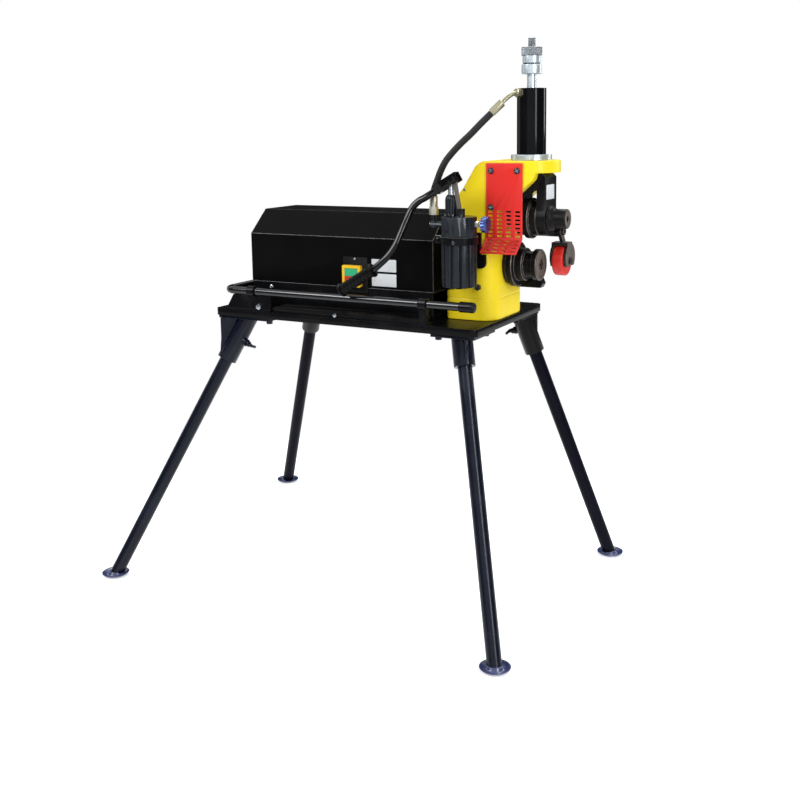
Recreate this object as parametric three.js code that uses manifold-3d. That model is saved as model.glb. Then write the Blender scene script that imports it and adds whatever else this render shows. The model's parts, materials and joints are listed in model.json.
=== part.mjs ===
// A roll grooving machine on a four-legged stand. A motor under the black cover turns the lower
// roll. A hand pump pushes a ram down, and the ram presses the upper roll into the pipe.
// Millimetres, +Z up. X runs along the table towards the rolls, and -Y faces the user.
// The shape is laid out from the middle of the table, and the last lines put the origin on the
// floor at the middle of the four feet's outline.
import * as THREE from "three";
import { mergeVertices } from "three/addons/utils/BufferGeometryUtils.js";
import Module from "manifold-3d";

const wasm = await Module();
wasm.setup();

// Clearances that more than one pair of pieces shares.
const seatGap = 0.3;
const runningGap = 0.5;
const overrun = 2;
const weldBite = 1;

// Sides of the round pieces, by how large they are.
const sides = { large: 28, medium: 20, leg: 16, small: 12, tube: 10, tiny: 8 };
const cornerSteps = 5;

// Driving dimensions, a group for each sub-assembly.
const table = { left: 379, right: 373, depth: 412, thick: 18, top: 699, cornerRadius: 15 };
const cornerPlate = {
  depth: 117, thick: 8, inset: 7, bevel: 42, boltRadius: 8, boltHeight: 9, boltInset: 12, boltEdge: 19,
};
const legTube = { radius: 17, bore: 14 };
const foot = {
  radius: 35, flatRadius: 29, rimHeight: 8, rimThick: 2, thick: 4, collarRadius: 22, collarHeight: 7,
  holeRadius: 3, holePlace: 24.5,
};
const socket = { radius: 25.5, boreGap: 0.6, bossRadius: 10, bossReach: 35 };
const gusset = { thick: 7, outerDrop: 52, shortfall: 14 };
const thumb = {
  radius: 4, holeGap: 0.5, reach: 54, hubRadius: 7.5, hubLength: 8, barRadius: 3.6, barHalf: 13,
};
// Where each leg stands, with x and y as its corner's signs. The insets place its top in from the
// table's edges, and the splays its foot out from there. The plate, rib and socket are lengths. The
// clamping screw sits so far down the socket, and its turn is in degrees round the leg.
const legs = {
  front_left: {
    x: -1, y: -1, insetX: 73, insetY: 46, splayX: 280, splayY: 246,
    plate: 160, rib: 73, socket: 125, screw: 61, turn: 0,
  },
  back_left: {
    x: -1, y: 1, insetX: 71, insetY: 49, splayX: 301, splayY: 259,
    plate: 160, rib: 70, socket: 110, screw: 44, turn: 0,
  },
  front_right: {
    x: 1, y: -1, insetX: 58, insetY: 46, splayX: 193, splayY: 245,
    plate: 114, rib: 56, socket: 74, screw: 46, turn: 108,
  },
  back_right: {
    x: 1, y: 1, insetX: 40, insetY: 45, splayX: 202, splayY: 149,
    plate: 114, rib: 43, socket: 105, screw: 38, turn: 180,
  },
};

const casting = {
  left: 243, right: 369, halfWidth: 97, frontRadius: 40, edgeRadius: 8, baseHeight: 70,
  columnStep: 19, shoulderHeight: 167, neckHeight: 192, neckHalf: 70,
  jawUnderHeight: 351, jawThick: 29, seamHeight: 52, seamDepth: 1.2,
  chamferRun: 60, chamferRise: 66, chamferRound: 14,
  slotBack: 376, slopeFoot: 964, slopeRun: 76, slopeRise: 69, lipRun: 6,
};
const ram = { x: 424, rodRadius: 11, rodHoleGap: 0.8 };
const cylinder = {
  radius: 34.5, bore: 28, height: 154, endWall: 12, flangeRadius: 48.8, flangeThick: 13,
  notchWidth: 9, notchDepth: 4, notches: 4, pistonThick: 22, pistonGap: 0.6, pistonDrop: 16,
};
const depthNut = {
  gap: 33, ringRadius: 23.8, ringHeight: 22, bodyRadius: 21.6, bodyHeight: 20,
  collarRadius: 24.5, collarHeight: 19, boreGap: 0.5, stubRadius: 8.8, stubHeight: 24, knurls: 24,
  knurlDepth: 0.9,
};
const spindle = { height: 130, radius: 25, noseRadius: 18, tailRadius: 16, tailLength: 72, boreGap: 0.6 };
const driveRoll = {
  start: 378, flangeRadius: 55, flangeThick: 17, landRadius: 40, landThick: 20,
  grooveRadius: 32, grooveWidth: 20, endRadius: 38, endThick: 16, wall: 12, holeRadius: 11, chamfer: 2,
};
const drawBolt = {
  headRadius: 9.5, headLength: 9, shankRadius: 6, shankLength: 30, hexRadius: 5, hexDepth: 5,
};
const bearing = { radius: 50, thick: 7 };
const upperRoll = {
  opening: 23, ridgeRadius: 49, ridgeWidth: 16, landRadius: 42, innerLand: 3, outerLand: 18.5,
  shaftRadius: 15, shaftGap: 0.6, chamfer: 2,
};
const yoke = {
  halfWidth: 36, bridgeThick: 41, postBottom: 97, earLeftThick: 16, earRightThick: 22,
  hubRadius: 42, topChamfer: 10, rodSocket: 22, lugRadius: 14, lugY: 52, lugDrop: 34,
};
const nose = {
  flareRadius: 32, flareLength: 14, radius: 23.5, length: 43, hexRadius: 9, hexDepth: 7,
  chamfer: 2,
};
const stabiliser = {
  armThick: 8, armWidth: 20, rollerX: 476, rollerY: 72, rollerDrop: 74, rollerRadius: 37, rollerWidth: 29,
  rollerRound: 5, cheekThick: 5, cheekRadius: 34, cheekLift: 9, cheekOut: 4, cheekFlat: 22, sideGap: 1.2,
  bridgeThick: 7, bridgeDepth: 34, pinRadius: 6, pinHead: 9, pinHeadThick: 4,
  boltRadius: 6, boltHead: 10, boltHeadThick: 8,
};
const guard = {
  left: 339, right: 431, top: 375, fold: 199, bottom: 167, thick: 3, flareOut: 38,
  slotWidth: 13, slotHeight: 4.6, slotRows: 7, slotPitch: 9.6, columns: 4, columnPitch: 22.8,
  flareRows: 4, screwRadius: 7, screwThick: 3.5, screwInset: 13, screwDrop: 18, lowScrewDrop: 104,
};
const pipeStop = {
  left: 10, right: 68, front: 42, depth: 24, bottom: 67, height: 22, screwRadius: 4,
  screwReach: 9,
};

const cover = {
  left: -305, right: 230, half: 138, ridge: 193, top: 252, topHalf: 71, sheet: 2.5, slotHalf: 34,
};
const motorBase = { endInset: 3, sideInset: 1, height: 55.5, sheet: 5 };
const basePlate = { left: -200, right: 222, sideInset: 8, thick: 12, boltShift: 21, boltHead: 6 };
const motor = { radius: 62, height: 78.5, left: -262, footLength: 150, footHalf: 55, cap: 50, capLength: 26 };
const gearbox = { left: 55, length: 167, half: 72, height: 160, chamfer: 18, outputDepth: 40 };
const coupling = { radius: 30, left: 226, length: 32, boreGap: 0.5, waistRadius: 25, waistWidth: 6 };
const gland = {
  y: 60, height: 101, nutRadius: 13, nutLength: 12, snoutRadius: 9, snoutLength: 22, bore: 4.5,
};

const switchBox = {
  x: 8, z: 97.5, width: 52, height: 54, deep: 11, rim: 7, plateWidth: 70, plateHeight: 88, plateThick: 2.5,
  plateShift: 6, plateLift: 3, buttonGap: 0.8, buttonProud: 1.5, travel: 3, floor: 3,
};

const carryBar = { radius: 10, sideInset: 9, height: 50, left: -345, right: 348, rearRight: 268, bend: 28 };
const barCap = { radius: 12.5, length: 38, wall: 1.9 };
const bracket = { width: 20, footDepth: 30, footThick: 5, postThick: 9, ringRadius: 15, ringGap: 0.4 };
const bracketPlaces = { right: 234, left: -262 };
const brace = {
  left: 83, right: 57, slant: 24, thick: 8, boltRadius: 8, boltHead: 7, boltX: 24,
  boltHeight: 12,
};

const pump = {
  x: 305, radius: 42, fluteDepth: 1.8, flutes: 12, tankBottom: 90, bandMiddle: 199, headTop: 254,
  bandRadius: 45, bandHeight: 18, joint: 0.3, earReach: 16, earDepth: 14, drainRadius: 10, drainHeight: 6,
  sleeveX: 285, sleeveRadius: 14, sleeveHeight: 50, sleeveTaper: 6, rodRadius: 7, rodGap: 0.7, rodInset: 42,
  portY: 132, portReach: 43, portRadius: 9, portHeight: 232,
  lugLength: 17, lugHeight: 19, lugThick: 4, lugX: 312,
};
const pumpBracket = { left: 296, right: 351, thick: 8, bottom: 128, top: 213, round: 12 };
const knob = {
  height: 237, stemRadius: 4.5, stemLength: 19, radius: 19, thick: 13, ribs: 12, ribDepth: 1.2,
  nutRadius: 8, nutLength: 7,
};
const link = { width: 10, thick: 4.5, offset: -6, eyeRadius: 5.8, holeRadius: 4.3, footLift: 2 };
const lever = {
  pivotX: 297, pivotHeight: 342, pitch: 30, pinRadius: 3.8, rodPinRadius: 3, rodPinPlace: 14,
  eyeRadius: 8, eyeHole: 5.7, eyeThick: 5, channelHalf: 12.5, cheek: 3.5, channelBack: 9, channelLength: 58,
  channelTop: 13, channelBottom: 10, web: 3, tubeRadius: 8.5,
  headRun: 30, elbowRun: 52, elbowFall: 29.5, turnRun: 26, turnFall: 10.5, turnOut: 4,
  joggleRun: 28, joggleFall: 113, joggleOut: 54, tailRun: 43, tailFall: 41, tailOut: 14, gripRun: 91,
  gripFall: 55,
  turnShare: 0.45, lowShare: 0.55, tailShare: 0.5, endShare: 0.04,
};
const grip = { radius: 14, flangeRadius: 17.5, flange: 5, ribs: 6, ribDepth: 1.6, wall: 1.5 };
// The hose's route runs from the upper ferrule to the lower one: x, y and height over the table.
const hose = {
  radius: 8,
  sides: 8,
  steps: 26,
  route: [
    [356, -78, 491], [332, -88, 466], [310, -97, 442], [290, -105, 422], [271, -112, 401], [256, -118, 381],
    [245, -122, 359], [237, -125, 337], [230, -127.5, 316], [228, -128, 306], [228, -128, 299],
  ],
};
const fitting = {
  angle: 243, drop: 11, nutRadius: 11, nutLength: 13, pipeRadius: 5, ferruleRadius: 9.5, ferruleLength: 34,
  nutHeight: 18, lowFerrule: 26, elbowRadius: 6.5,
};

// Places that several pieces share, worked out from the sizes above.
const tableBottom = table.top - table.thick;
const plateBottom = tableBottom - cornerPlate.thick;
const spindleZ = table.top + spindle.height;
const upperZ = spindleZ + driveRoll.landRadius + upperRoll.opening + upperRoll.ridgeRadius;
const jawUnder = table.top + casting.jawUnderHeight;
const jawTop = jawUnder + casting.jawThick;
const cylinderBottom = jawTop + seatGap + cylinder.flangeThick;
const cylinderTop = cylinderBottom + seatGap + cylinder.height;
const grooveStart = driveRoll.start + driveRoll.flangeThick + driveRoll.landThick;
const driveEnd = grooveStart + driveRoll.grooveWidth + driveRoll.endThick;
const ridgeStart = grooveStart + (driveRoll.grooveWidth - upperRoll.ridgeWidth) / 2;
const rollLeft = ridgeStart - upperRoll.innerLand;
const rollRight = ridgeStart + upperRoll.ridgeWidth + upperRoll.outerLand;
const earRightInner = rollRight + runningGap;
const earRight = earRightInner + yoke.earRightThick;
const earLeft = rollLeft - runningGap;
const yokeBack = casting.slotBack + runningGap;
const yokeTop = jawUnder - runningGap;
const baseTop = table.top + basePlate.thick;
const motorFloor = baseTop + motorBase.height;
const pumpY = -(casting.halfWidth + pumpBracket.thick + pump.bandRadius + 2 * seatGap);
const barY = table.depth / 2 - carryBar.sideInset;
const barZ = table.top + carryBar.height;
const pivotZ = table.top + lever.pivotHeight;
const rollerZ = upperZ - yoke.lugDrop - stabiliser.rollerDrop;
const pitchAngle = THREE.MathUtils.degToRad(lever.pitch);

// Materials, with colour, roughness and metalness.
function finish(color, roughness, metalness) {
  return new THREE.MeshStandardMaterial({ color, roughness, metalness });
}
const blackPaint = finish(0x141416, 0.35, 0.1);
const yellowPaint = finish(0xf2d21c, 0.4, 0.05);
const redPaint = finish(0xd8261f, 0.4, 0.05);
const darkSteel = finish(0x2c2b2c, 0.45, 0.7);
const brightSteel = finish(0xc9cdd2, 0.22, 1);
const zincSteel = finish(0xb9b294, 0.35, 0.9);
const pumpGrey = finish(0x3a4148, 0.5, 0.4);
const blackRubber = finish(0x17171a, 0.8, 0);
const redPolymer = finish(0xc8201c, 0.5, 0);
const greenPolymer = finish(0x27a06a, 0.45, 0);
const yellowPolymer = finish(0xe8c020, 0.45, 0);
const motorGrey = finish(0x6f767c, 0.55, 0.3);

// Solids. Every helper takes and gives a closed BufferGeometry.
function toSolid(geometry) {
  const bare = geometry.clone();
  for (const name of Object.keys(bare.attributes)) {
    if (name !== "position") bare.deleteAttribute(name);
  }
  const merged = mergeVertices(bare);
  const index = merged.index.array;
  const kept = [];
  for (let i = 0; i < index.length; i += 3) {
    const [a, b, c] = [index[i], index[i + 1], index[i + 2]];
    if (a !== b && b !== c && c !== a) kept.push(a, b, c);
  }
  const build = (list) => new wasm.Manifold(new wasm.Mesh({
    numProp: 3,
    vertProperties: new Float32Array(merged.attributes.position.array),
    triVerts: new Uint32Array(list),
  }));
  const first = build(kept);
  if (first.volume() > 0) return first;
  const turned = [];
  for (let i = 0; i < kept.length; i += 3) turned.push(kept[i], kept[i + 2], kept[i + 1]);
  return build(turned);
}
function toGeometry(manifold) {
  const mesh = manifold.getMesh();
  const geometry = new THREE.BufferGeometry();
  geometry.setAttribute("position", new THREE.BufferAttribute(new Float32Array(mesh.vertProperties), 3));
  geometry.setIndex(new THREE.BufferAttribute(new Uint32Array(mesh.triVerts), 1));
  return geometry;
}
function join(first, ...others) {
  return toGeometry(others.reduce((whole, piece) => whole.add(toSolid(piece)), toSolid(first)));
}
function cut(first, ...tools) {
  return toGeometry(tools.reduce((whole, tool) => whole.subtract(toSolid(tool)), toSolid(first)));
}
function common(first, second) {
  return toGeometry(toSolid(first).intersect(toSolid(second)));
}

// A box between two opposite corners.
function box(low, high) {
  const size = high.map((value, i) => value - low[i]);
  const middle = high.map((value, i) => (value + low[i]) / 2);
  return new THREE.BoxGeometry(...size).translate(...middle);
}
const axes = {
  x: new THREE.Vector3(1, 0, 0),
  y: new THREE.Vector3(0, 1, 0),
  z: new THREE.Vector3(0, 0, 1),
};
// A profile of [radius, distance] points turned round the line from a point along a direction.
function turned(profile, from, direction, segments = sides.medium) {
  const points = profile.map(([radius, along]) => new THREE.Vector2(radius, along));
  const turn = new THREE.Quaternion().setFromUnitVectors(axes.y, direction.clone().normalize());
  return new THREE.LatheGeometry(points, segments).applyQuaternion(turn).translate(from.x, from.y, from.z);
}
function rod(from, direction, radius, length, segments = sides.medium) {
  return turned([[0, 0], [radius, 0], [radius, length], [0, length]], from, direction, segments);
}
function rodX(x0, x1, y, z, radius, segments) {
  return rod(new THREE.Vector3(x0, y, z), axes.x, radius, x1 - x0, segments);
}
function rodY(y0, y1, x, z, radius, segments) {
  return rod(new THREE.Vector3(x, y0, z), axes.y, radius, y1 - y0, segments);
}
function rodZ(z0, z1, x, y, radius, segments) {
  return rod(new THREE.Vector3(x, y, z0), axes.z, radius, z1 - z0, segments);
}
// A closed outline from corner points.
function outline(points) {
  return new THREE.Shape(points.map(([u, v]) => new THREE.Vector2(u, v)));
}
// A slab of an outline in one plane, between two places along the third axis.
const planes = {
  xy: new THREE.Matrix4().makeBasis(axes.x, axes.y, axes.z),
  xz: new THREE.Matrix4().makeBasis(axes.x, axes.z, axes.y.clone().negate()),
  yz: new THREE.Matrix4().makeBasis(axes.y, axes.z, axes.x),
};
function slab(shape, plane, from, to, curveSegments = cornerSteps) {
  const depth = Math.abs(to - from);
  const settings = { depth, bevelEnabled: false, curveSegments };
  const geometry = new THREE.ExtrudeGeometry(shape, settings).applyMatrix4(planes[plane]);
  const start = Math.min(from, to);
  if (plane === "xy") return geometry.translate(0, 0, start);
  if (plane === "xz") return geometry.translate(0, start + depth, 0);
  return geometry.translate(start, 0, 0);
}
// A rectangle with four corner radii, in the order low-low, high-low, high-high, low-high.
function roundedRect(x0, y0, x1, y1, radii) {
  const [a, b, c, d] = radii;
  const shape = new THREE.Shape();
  shape.moveTo(x0 + a, y0);
  shape.lineTo(x1 - b, y0);
  if (b > 0) shape.absarc(x1 - b, y0 + b, b, -Math.PI / 2, 0);
  shape.lineTo(x1, y1 - c);
  if (c > 0) shape.absarc(x1 - c, y1 - c, c, 0, Math.PI / 2);
  shape.lineTo(x0 + d, y1);
  if (d > 0) shape.absarc(x0 + d, y1 - d, d, Math.PI / 2, Math.PI);
  shape.lineTo(x0, y0 + a);
  if (a > 0) shape.absarc(x0 + a, y0 + a, a, Math.PI, 1.5 * Math.PI);
  return shape;
}
// A path through chosen stations: straights take one step and bends take several.
class Route extends THREE.Curve {
  constructor(stretches) {
    super();
    this.places = [];
    this.directions = [];
    for (const [curve, steps] of stretches) {
      for (let i = this.places.length ? 1 : 0; i <= steps; i += 1) {
        this.places.push(curve.getPoint(i / steps));
        this.directions.push(curve.getTangent(i / steps));
      }
    }
    this.steps = this.places.length - 1;
  }
  getPointAt(share) {
    return this.places[Math.round(share * this.steps)].clone();
  }
  getTangentAt(share) {
    return this.directions[Math.round(share * this.steps)].clone();
  }
}
const straight = (from, to) => [new THREE.LineCurve3(from, to), 1];
const bend = (from, corner, to, steps = cornerSteps) => [new THREE.QuadraticBezierCurve3(from, corner,
  to), steps];
// A round tube along a route.
function tubeAlong(stretches, radius, segments) {
  const route = new Route(stretches);
  const ring = outline(Array.from({ length: segments }, (_, i) => {
    const angle = (2 * Math.PI * i) / segments;
    return [radius * Math.cos(angle), radius * Math.sin(angle)];
  }));
  const settings = { steps: route.steps, bevelEnabled: false, extrudePath: route, curveSegments: 1 };
  return new THREE.ExtrudeGeometry(ring, settings);
}
// A ring of teeth round an axis: a circle whose radius drops between the teeth. With one corner
// on a tooth it is pointed, and with two it is flat.
function toothed(radius, depth, teeth, corners) {
  const count = teeth * corners * 2;
  return outline(Array.from({ length: count }, (_, i) => {
    const angle = (2 * Math.PI * (i + 1 / 2)) / count;
    const r = i % (corners * 2) < corners ? radius : radius - depth;
    return [r * Math.cos(angle), r * Math.sin(angle)];
  }));
}

const machine = new THREE.Group();
function add(name, geometry, material) {
  const mesh = new THREE.Mesh(geometry.index ? geometry.toNonIndexed() : geometry, material);
  mesh.geometry.computeVertexNormals();
  mesh.name = name;
  machine.add(mesh);
}

// The thick steel table plate with rounded corners.
function tablePlate() {
  const y = table.depth / 2;
  const shape = roundedRect(-table.left, -y, table.right, y, Array(4).fill(table.cornerRadius));
  return slab(shape, "xy", tableBottom, table.top);
}
add("table_plate", tablePlate(), blackPaint);

// One leg's line: its top under the corner plate, its foot on the floor and its directions.
const sideEdge = (place) => (place.x < 0 ? -table.left : table.right);
function legLine(place) {
  const top = new THREE.Vector3(
    sideEdge(place) - place.x * place.insetX,
    place.y * (table.depth / 2 - place.insetY),
    plateBottom,
  );
  const bottom = new THREE.Vector3(top.x + place.x * place.splayX, top.y + place.y * place.splayY, 0);
  const along = bottom.clone().sub(top).normalize();
  const outward = new THREE.Vector3(along.x, along.y, 0).normalize();
  const side = axes.x.clone().applyAxisAngle(axes.z, THREE.MathUtils.degToRad(place.turn));
  side.addScaledVector(along, -side.dot(along)).normalize();
  const tilt = Math.acos(-along.z);
  const stop = (legTube.radius + socket.boreGap) * Math.tan(tilt) + weldBite;
  return { top, bottom, along, outward, side, tilt, stop };
}
function at(point, ...steps) {
  const place = point.clone();
  for (const [direction, distance] of steps) place.addScaledVector(direction, distance);
  return place;
}
// A corner weldment: plate, slanted socket, gusset and the boss for the clamping screw.
function legSocket(place) {
  const line = legLine(place);
  const edgeX = sideEdge(place) - place.x * cornerPlate.inset;
  const edgeY = place.y * (table.depth / 2 - cornerPlate.inset);
  const innerX = edgeX - place.x * place.plate;
  const innerY = edgeY - place.y * cornerPlate.depth;
  const bevelX = innerX + place.x * cornerPlate.bevel;
  const bevelY = innerY + place.y * cornerPlate.bevel;
  const outlinePoints = [[edgeX, edgeY], [innerX, edgeY], [innerX, bevelY], [bevelX, innerY],
    [edgeX, innerY]];
  const plate = slab(outline(outlinePoints), "xy", plateBottom, tableBottom);
  const { boltInset, boltEdge } = cornerPlate;
  const bolts = [[innerX + place.x * boltInset, edgeY - place.y * boltEdge],
    [edgeX - place.x * boltEdge, innerY + place.y * boltInset]]
    .map(([x, y]) => rodZ(plateBottom - cornerPlate.boltHeight, plateBottom + weldBite, x, y,
    cornerPlate.boltRadius, 6));
  const shell = rod(at(line.top, [line.along, -socket.radius]), line.along, socket.radius,
    place.socket + socket.radius, sides.leg);
  const down = place.socket - gusset.shortfall;
  const ribFoot = [down * Math.sin(line.tilt), -down * Math.cos(line.tilt)];
  const rib = new THREE.ExtrudeGeometry(outline([
    [0, weldBite],
    [place.rib, weldBite],
    [place.rib, -Math.min(gusset.outerDrop, down / 2)],
    [ribFoot[0] + socket.radius * Math.cos(line.tilt), ribFoot[1] + socket.radius * Math.sin(line.tilt)],
    ribFoot,
  ]), { depth: gusset.thick, bevelEnabled: false });
  rib.translate(0, 0, -gusset.thick / 2);
  const ribBasis = new THREE.Matrix4().makeBasis(line.outward, axes.z, line.outward.clone().cross(axes.z));
  rib.applyMatrix4(ribBasis).translate(line.top.x, line.top.y, line.top.z);
  const bossMiddle = at(line.top, [line.along, place.screw]);
  const boss = rod(bossMiddle, line.side, socket.bossRadius, socket.bossReach, sides.small);
  const reach = table.left + table.right + table.depth;
  const below = box([-reach, -reach, -reach], [reach, reach, plateBottom + weldBite]);
  const welded = common(join(shell, rib, boss), below);
  const bore = rod(at(line.top, [line.along, line.stop]), line.along, legTube.radius + socket.boreGap,
    place.socket + socket.radius, sides.leg);
  const screwHole = rod(bossMiddle, line.side, thumb.radius + thumb.holeGap, socket.bossReach + overrun,
    sides.tiny);
  return cut(join(plate, welded, ...bolts), bore, screwHole);
}
// A leg: a hollow tube welded on a pressed foot with a turned-up rim and two fixing holes.
function leg(place) {
  const line = legLine(place);
  const start = line.stop + seatGap;
  const length = line.top.distanceTo(line.bottom) - start + 2 * legTube.radius;
  const tube = turned(
    [[legTube.bore, 0], [legTube.radius, 0], [legTube.radius, length], [legTube.bore, length],
    [legTube.bore, 0]],
    at(line.top, [line.along, start]), line.along, sides.leg,
  );
  const reach = table.left + table.right + table.depth;
  const buried = foot.thick / 2;
  const floor = box([-reach, -reach, -reach], [reach, reach, buried]);
  const disc = turned([[0, 0], [foot.flatRadius, 0], [foot.radius, foot.rimHeight - foot.rimThick],
    [foot.radius, foot.rimHeight], [foot.radius - foot.rimThick, foot.rimHeight],
    [foot.flatRadius - foot.rimThick, foot.thick], [0, foot.thick]],
    new THREE.Vector3(line.bottom.x, line.bottom.y, 0),
  axes.z, sides.medium);
  const collar = cut(
    rodZ(buried, foot.thick + foot.collarHeight, line.bottom.x, line.bottom.y, foot.collarRadius, sides.leg),
    rod(at(line.bottom, [line.along, -legTube.radius * 2]), line.along, legTube.bore + weldBite,
      legTube.radius * 2, sides.leg),
  );
  const holes = [-1, 1].map((side) => rodZ(-overrun, foot.thick + overrun,
    line.bottom.x + side * foot.holePlace * line.outward.y,
    line.bottom.y - side * foot.holePlace * line.outward.x, foot.holeRadius, sides.tiny));
  return cut(join(cut(tube, floor), disc, collar), ...holes);
}
// A clamping screw with a cross bar, which presses on the leg tube through the socket's boss.
function thumbScrew(place) {
  const line = legLine(place);
  const middle = at(line.top, [line.along, place.screw]);
  const start = legTube.radius + seatGap;
  const shank = rod(at(middle, [line.side, start]), line.side, thumb.radius, thumb.reach - start, sides.tiny);
  const hub = rod(at(middle, [line.side, socket.bossReach + seatGap]), line.side, thumb.hubRadius,
    thumb.hubLength, sides.tiny);
  const across = line.side.clone().cross(line.along).normalize();
  const bar = rod(at(middle, [line.side, thumb.reach], [across, -thumb.barHalf]), across, thumb.barRadius,
    2 * thumb.barHalf, sides.tiny);
  return join(shank, hub, bar);
}
for (const [corner, place] of Object.entries(legs)) {
  add(`leg_socket_${corner}`, legSocket(place), blackPaint);
  add(`leg_${corner}`, leg(place), blackPaint);
  add(`thumb_screw_${corner}`, thumbScrew(place), blackPaint);
}

// The cast C-frame: a thick base and column, a thinner neck above the shoulder, and the jaw.
function headFrame() {
  const c = casting;
  const radii = [c.edgeRadius, c.frontRadius, c.frontRadius, c.edgeRadius];
  const baseTopZ = table.top + c.baseHeight;
  const shoulderZ = table.top + c.shoulderHeight;
  const neckZ = table.top + c.neckHeight;
  const columnLeft = c.left + c.columnStep;
  const footprint = roundedRect(c.left, -c.halfWidth, c.right, c.halfWidth, radii);
  const base = slab(footprint, "xy", table.top, baseTopZ);
  const columnPrint = roundedRect(columnLeft, -c.halfWidth, c.right, c.halfWidth, radii);
  const column = slab(columnPrint, "xy", baseTopZ - weldBite, neckZ);
  const shoulders = [-1, 1].map((side) => slab(outline([
    [side * (c.halfWidth + overrun), shoulderZ],
    [side * (c.halfWidth + overrun), neckZ + overrun],
    [side * c.neckHalf, neckZ + overrun],
    [side * c.neckHalf, neckZ],
    [side * c.halfWidth, shoulderZ],
  ]), "yz", columnLeft - overrun, c.right + overrun));
  const side = new THREE.Shape();
  const noseEnd = ram.x + c.neckHalf;
  const slopeTop = [c.slotBack + c.slopeRun, c.slopeFoot + c.slopeRise];
  side.moveTo(columnLeft, shoulderZ);
  side.lineTo(c.right, shoulderZ);
  side.lineTo(c.right, c.slopeFoot);
  side.lineTo(c.slotBack, c.slopeFoot);
  side.lineTo(...slopeTop);
  side.lineTo(slopeTop[0] + c.lipRun, jawUnder);
  side.lineTo(noseEnd, jawUnder);
  side.lineTo(noseEnd, jawTop);
  side.lineTo(columnLeft + c.chamferRun + c.chamferRound, jawTop);
  side.quadraticCurveTo(columnLeft + c.chamferRun, jawTop,
    columnLeft + c.chamferRun - c.chamferRound, jawTop - c.chamferRound);
  side.lineTo(columnLeft + c.chamferRound, jawTop - c.chamferRise);
  side.quadraticCurveTo(columnLeft, jawTop - c.chamferRise - c.chamferRound,
    columnLeft, jawTop - c.chamferRise - 2 * c.chamferRound);
  const neck = slab(side, "xz", -c.neckHalf, c.neckHalf);
  const noseShape = new THREE.Shape();
  noseShape.moveTo(columnLeft, -c.neckHalf);
  noseShape.lineTo(ram.x, -c.neckHalf);
  noseShape.absarc(ram.x, 0, c.neckHalf, -Math.PI / 2, Math.PI / 2);
  noseShape.lineTo(columnLeft, c.neckHalf);
  const nosePrint = slab(noseShape, "xy", table.top, jawTop + overrun, sides.medium / 2);
  const slot = box(
    [c.slotBack, -(yoke.halfWidth + runningGap), c.slopeFoot - overrun],
    [noseEnd + overrun, yoke.halfWidth + runningGap, jawUnder],
  );
  const rodHole = rodZ(jawUnder - overrun, jawTop + overrun, ram.x, 0, ram.rodRadius + ram.rodHoleGap,
    sides.medium);
  const spindleHole = rodX(c.left - overrun, c.right + overrun, 0, spindleZ,
    spindle.radius + spindle.boreGap, sides.medium);
  const seamZ = table.top + c.seamHeight;
  const inner = roundedRect(c.left + c.seamDepth, -c.halfWidth + c.seamDepth, c.right - c.seamDepth,
    c.halfWidth - c.seamDepth, radii);
  const ringOuter = roundedRect(c.left - overrun, -c.halfWidth - overrun, c.right + overrun,
    c.halfWidth + overrun, radii);
  ringOuter.holes.push(new THREE.Path(inner.getPoints(cornerSteps)));
  const seam = slab(ringOuter, "xy", seamZ, seamZ + c.seamDepth);
  const body = join(base, cut(column, ...shoulders), common(neck, nosePrint));
  return cut(body, slot, rodHole, spindleHole, seam);
}
add("head_frame", headFrame(), yellowPaint);

// The notched ring that screws the cylinder down on the jaw.
function cylinderFlange() {
  const ring = rodZ(jawTop + seatGap, cylinderBottom, ram.x, 0, cylinder.flangeRadius, sides.large);
  const hole = rodZ(jawTop - overrun, cylinderBottom + overrun, ram.x, 0, ram.rodRadius + ram.rodHoleGap,
    sides.medium);
  const half = cylinder.notchWidth / 2;
  const reach = cylinder.flangeRadius - cylinder.notchDepth;
  const notches = Array.from({ length: cylinder.notches }, (_, i) => box(
    [reach, -half, jawTop - overrun], [reach * 2, half, cylinderBottom + overrun],
  ).rotateZ((2 * Math.PI * (i + 1 / 4)) / cylinder.notches).translate(ram.x, 0, 0));
  return cut(ring, hole, ...notches);
}
add("cylinder_flange", cylinderFlange(), brightSteel);

// The hydraulic cylinder, open inside round the piston and the rod.
function ramCylinder() {
  const z0 = cylinderBottom + seatGap;
  const body = rodZ(z0, cylinderTop, ram.x, 0, cylinder.radius, sides.large);
  const bore = rodZ(z0 + cylinder.endWall, cylinderTop - cylinder.endWall, ram.x, 0, cylinder.bore,
    sides.medium);
  const hole = rodZ(z0 - overrun, cylinderTop + overrun, ram.x, 0, ram.rodRadius + ram.rodHoleGap,
    sides.medium);
  return cut(body, bore, hole);
}
add("ram_cylinder", ramCylinder(), blackPaint);

// The rod with its piston inside the cylinder and the depth thread above it, all one shaft.
const rodBottom = yokeTop - yoke.rodSocket + seatGap;
const nutBottom = cylinderTop + depthNut.gap;
const collarBottom = nutBottom + depthNut.ringHeight + depthNut.bodyHeight + seatGap;
const collarTop = collarBottom + depthNut.collarHeight;
function ramRod() {
  const pistonTop = cylinderTop - cylinder.endWall - cylinder.pistonDrop;
  const heights = [rodBottom, pistonTop - cylinder.pistonThick, pistonTop, collarTop,
    collarTop + depthNut.stubHeight];
  const [a, b, c, d, e] = heights.map((z) => z - rodBottom);
  const r = ram.rodRadius;
  const piston = cylinder.bore - cylinder.pistonGap;
  const tip = depthNut.stubRadius;
  return turned([[0, a], [r, a], [r, b], [piston, b], [piston, c], [r, c], [r, d], [tip, d],
    [tip, e - tip / 4],
    [tip / 2, e], [0, e]], new THREE.Vector3(ram.x, 0, rodBottom), axes.z, sides.medium);
}
add("ram_rod", ramRod(), brightSteel);

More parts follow.
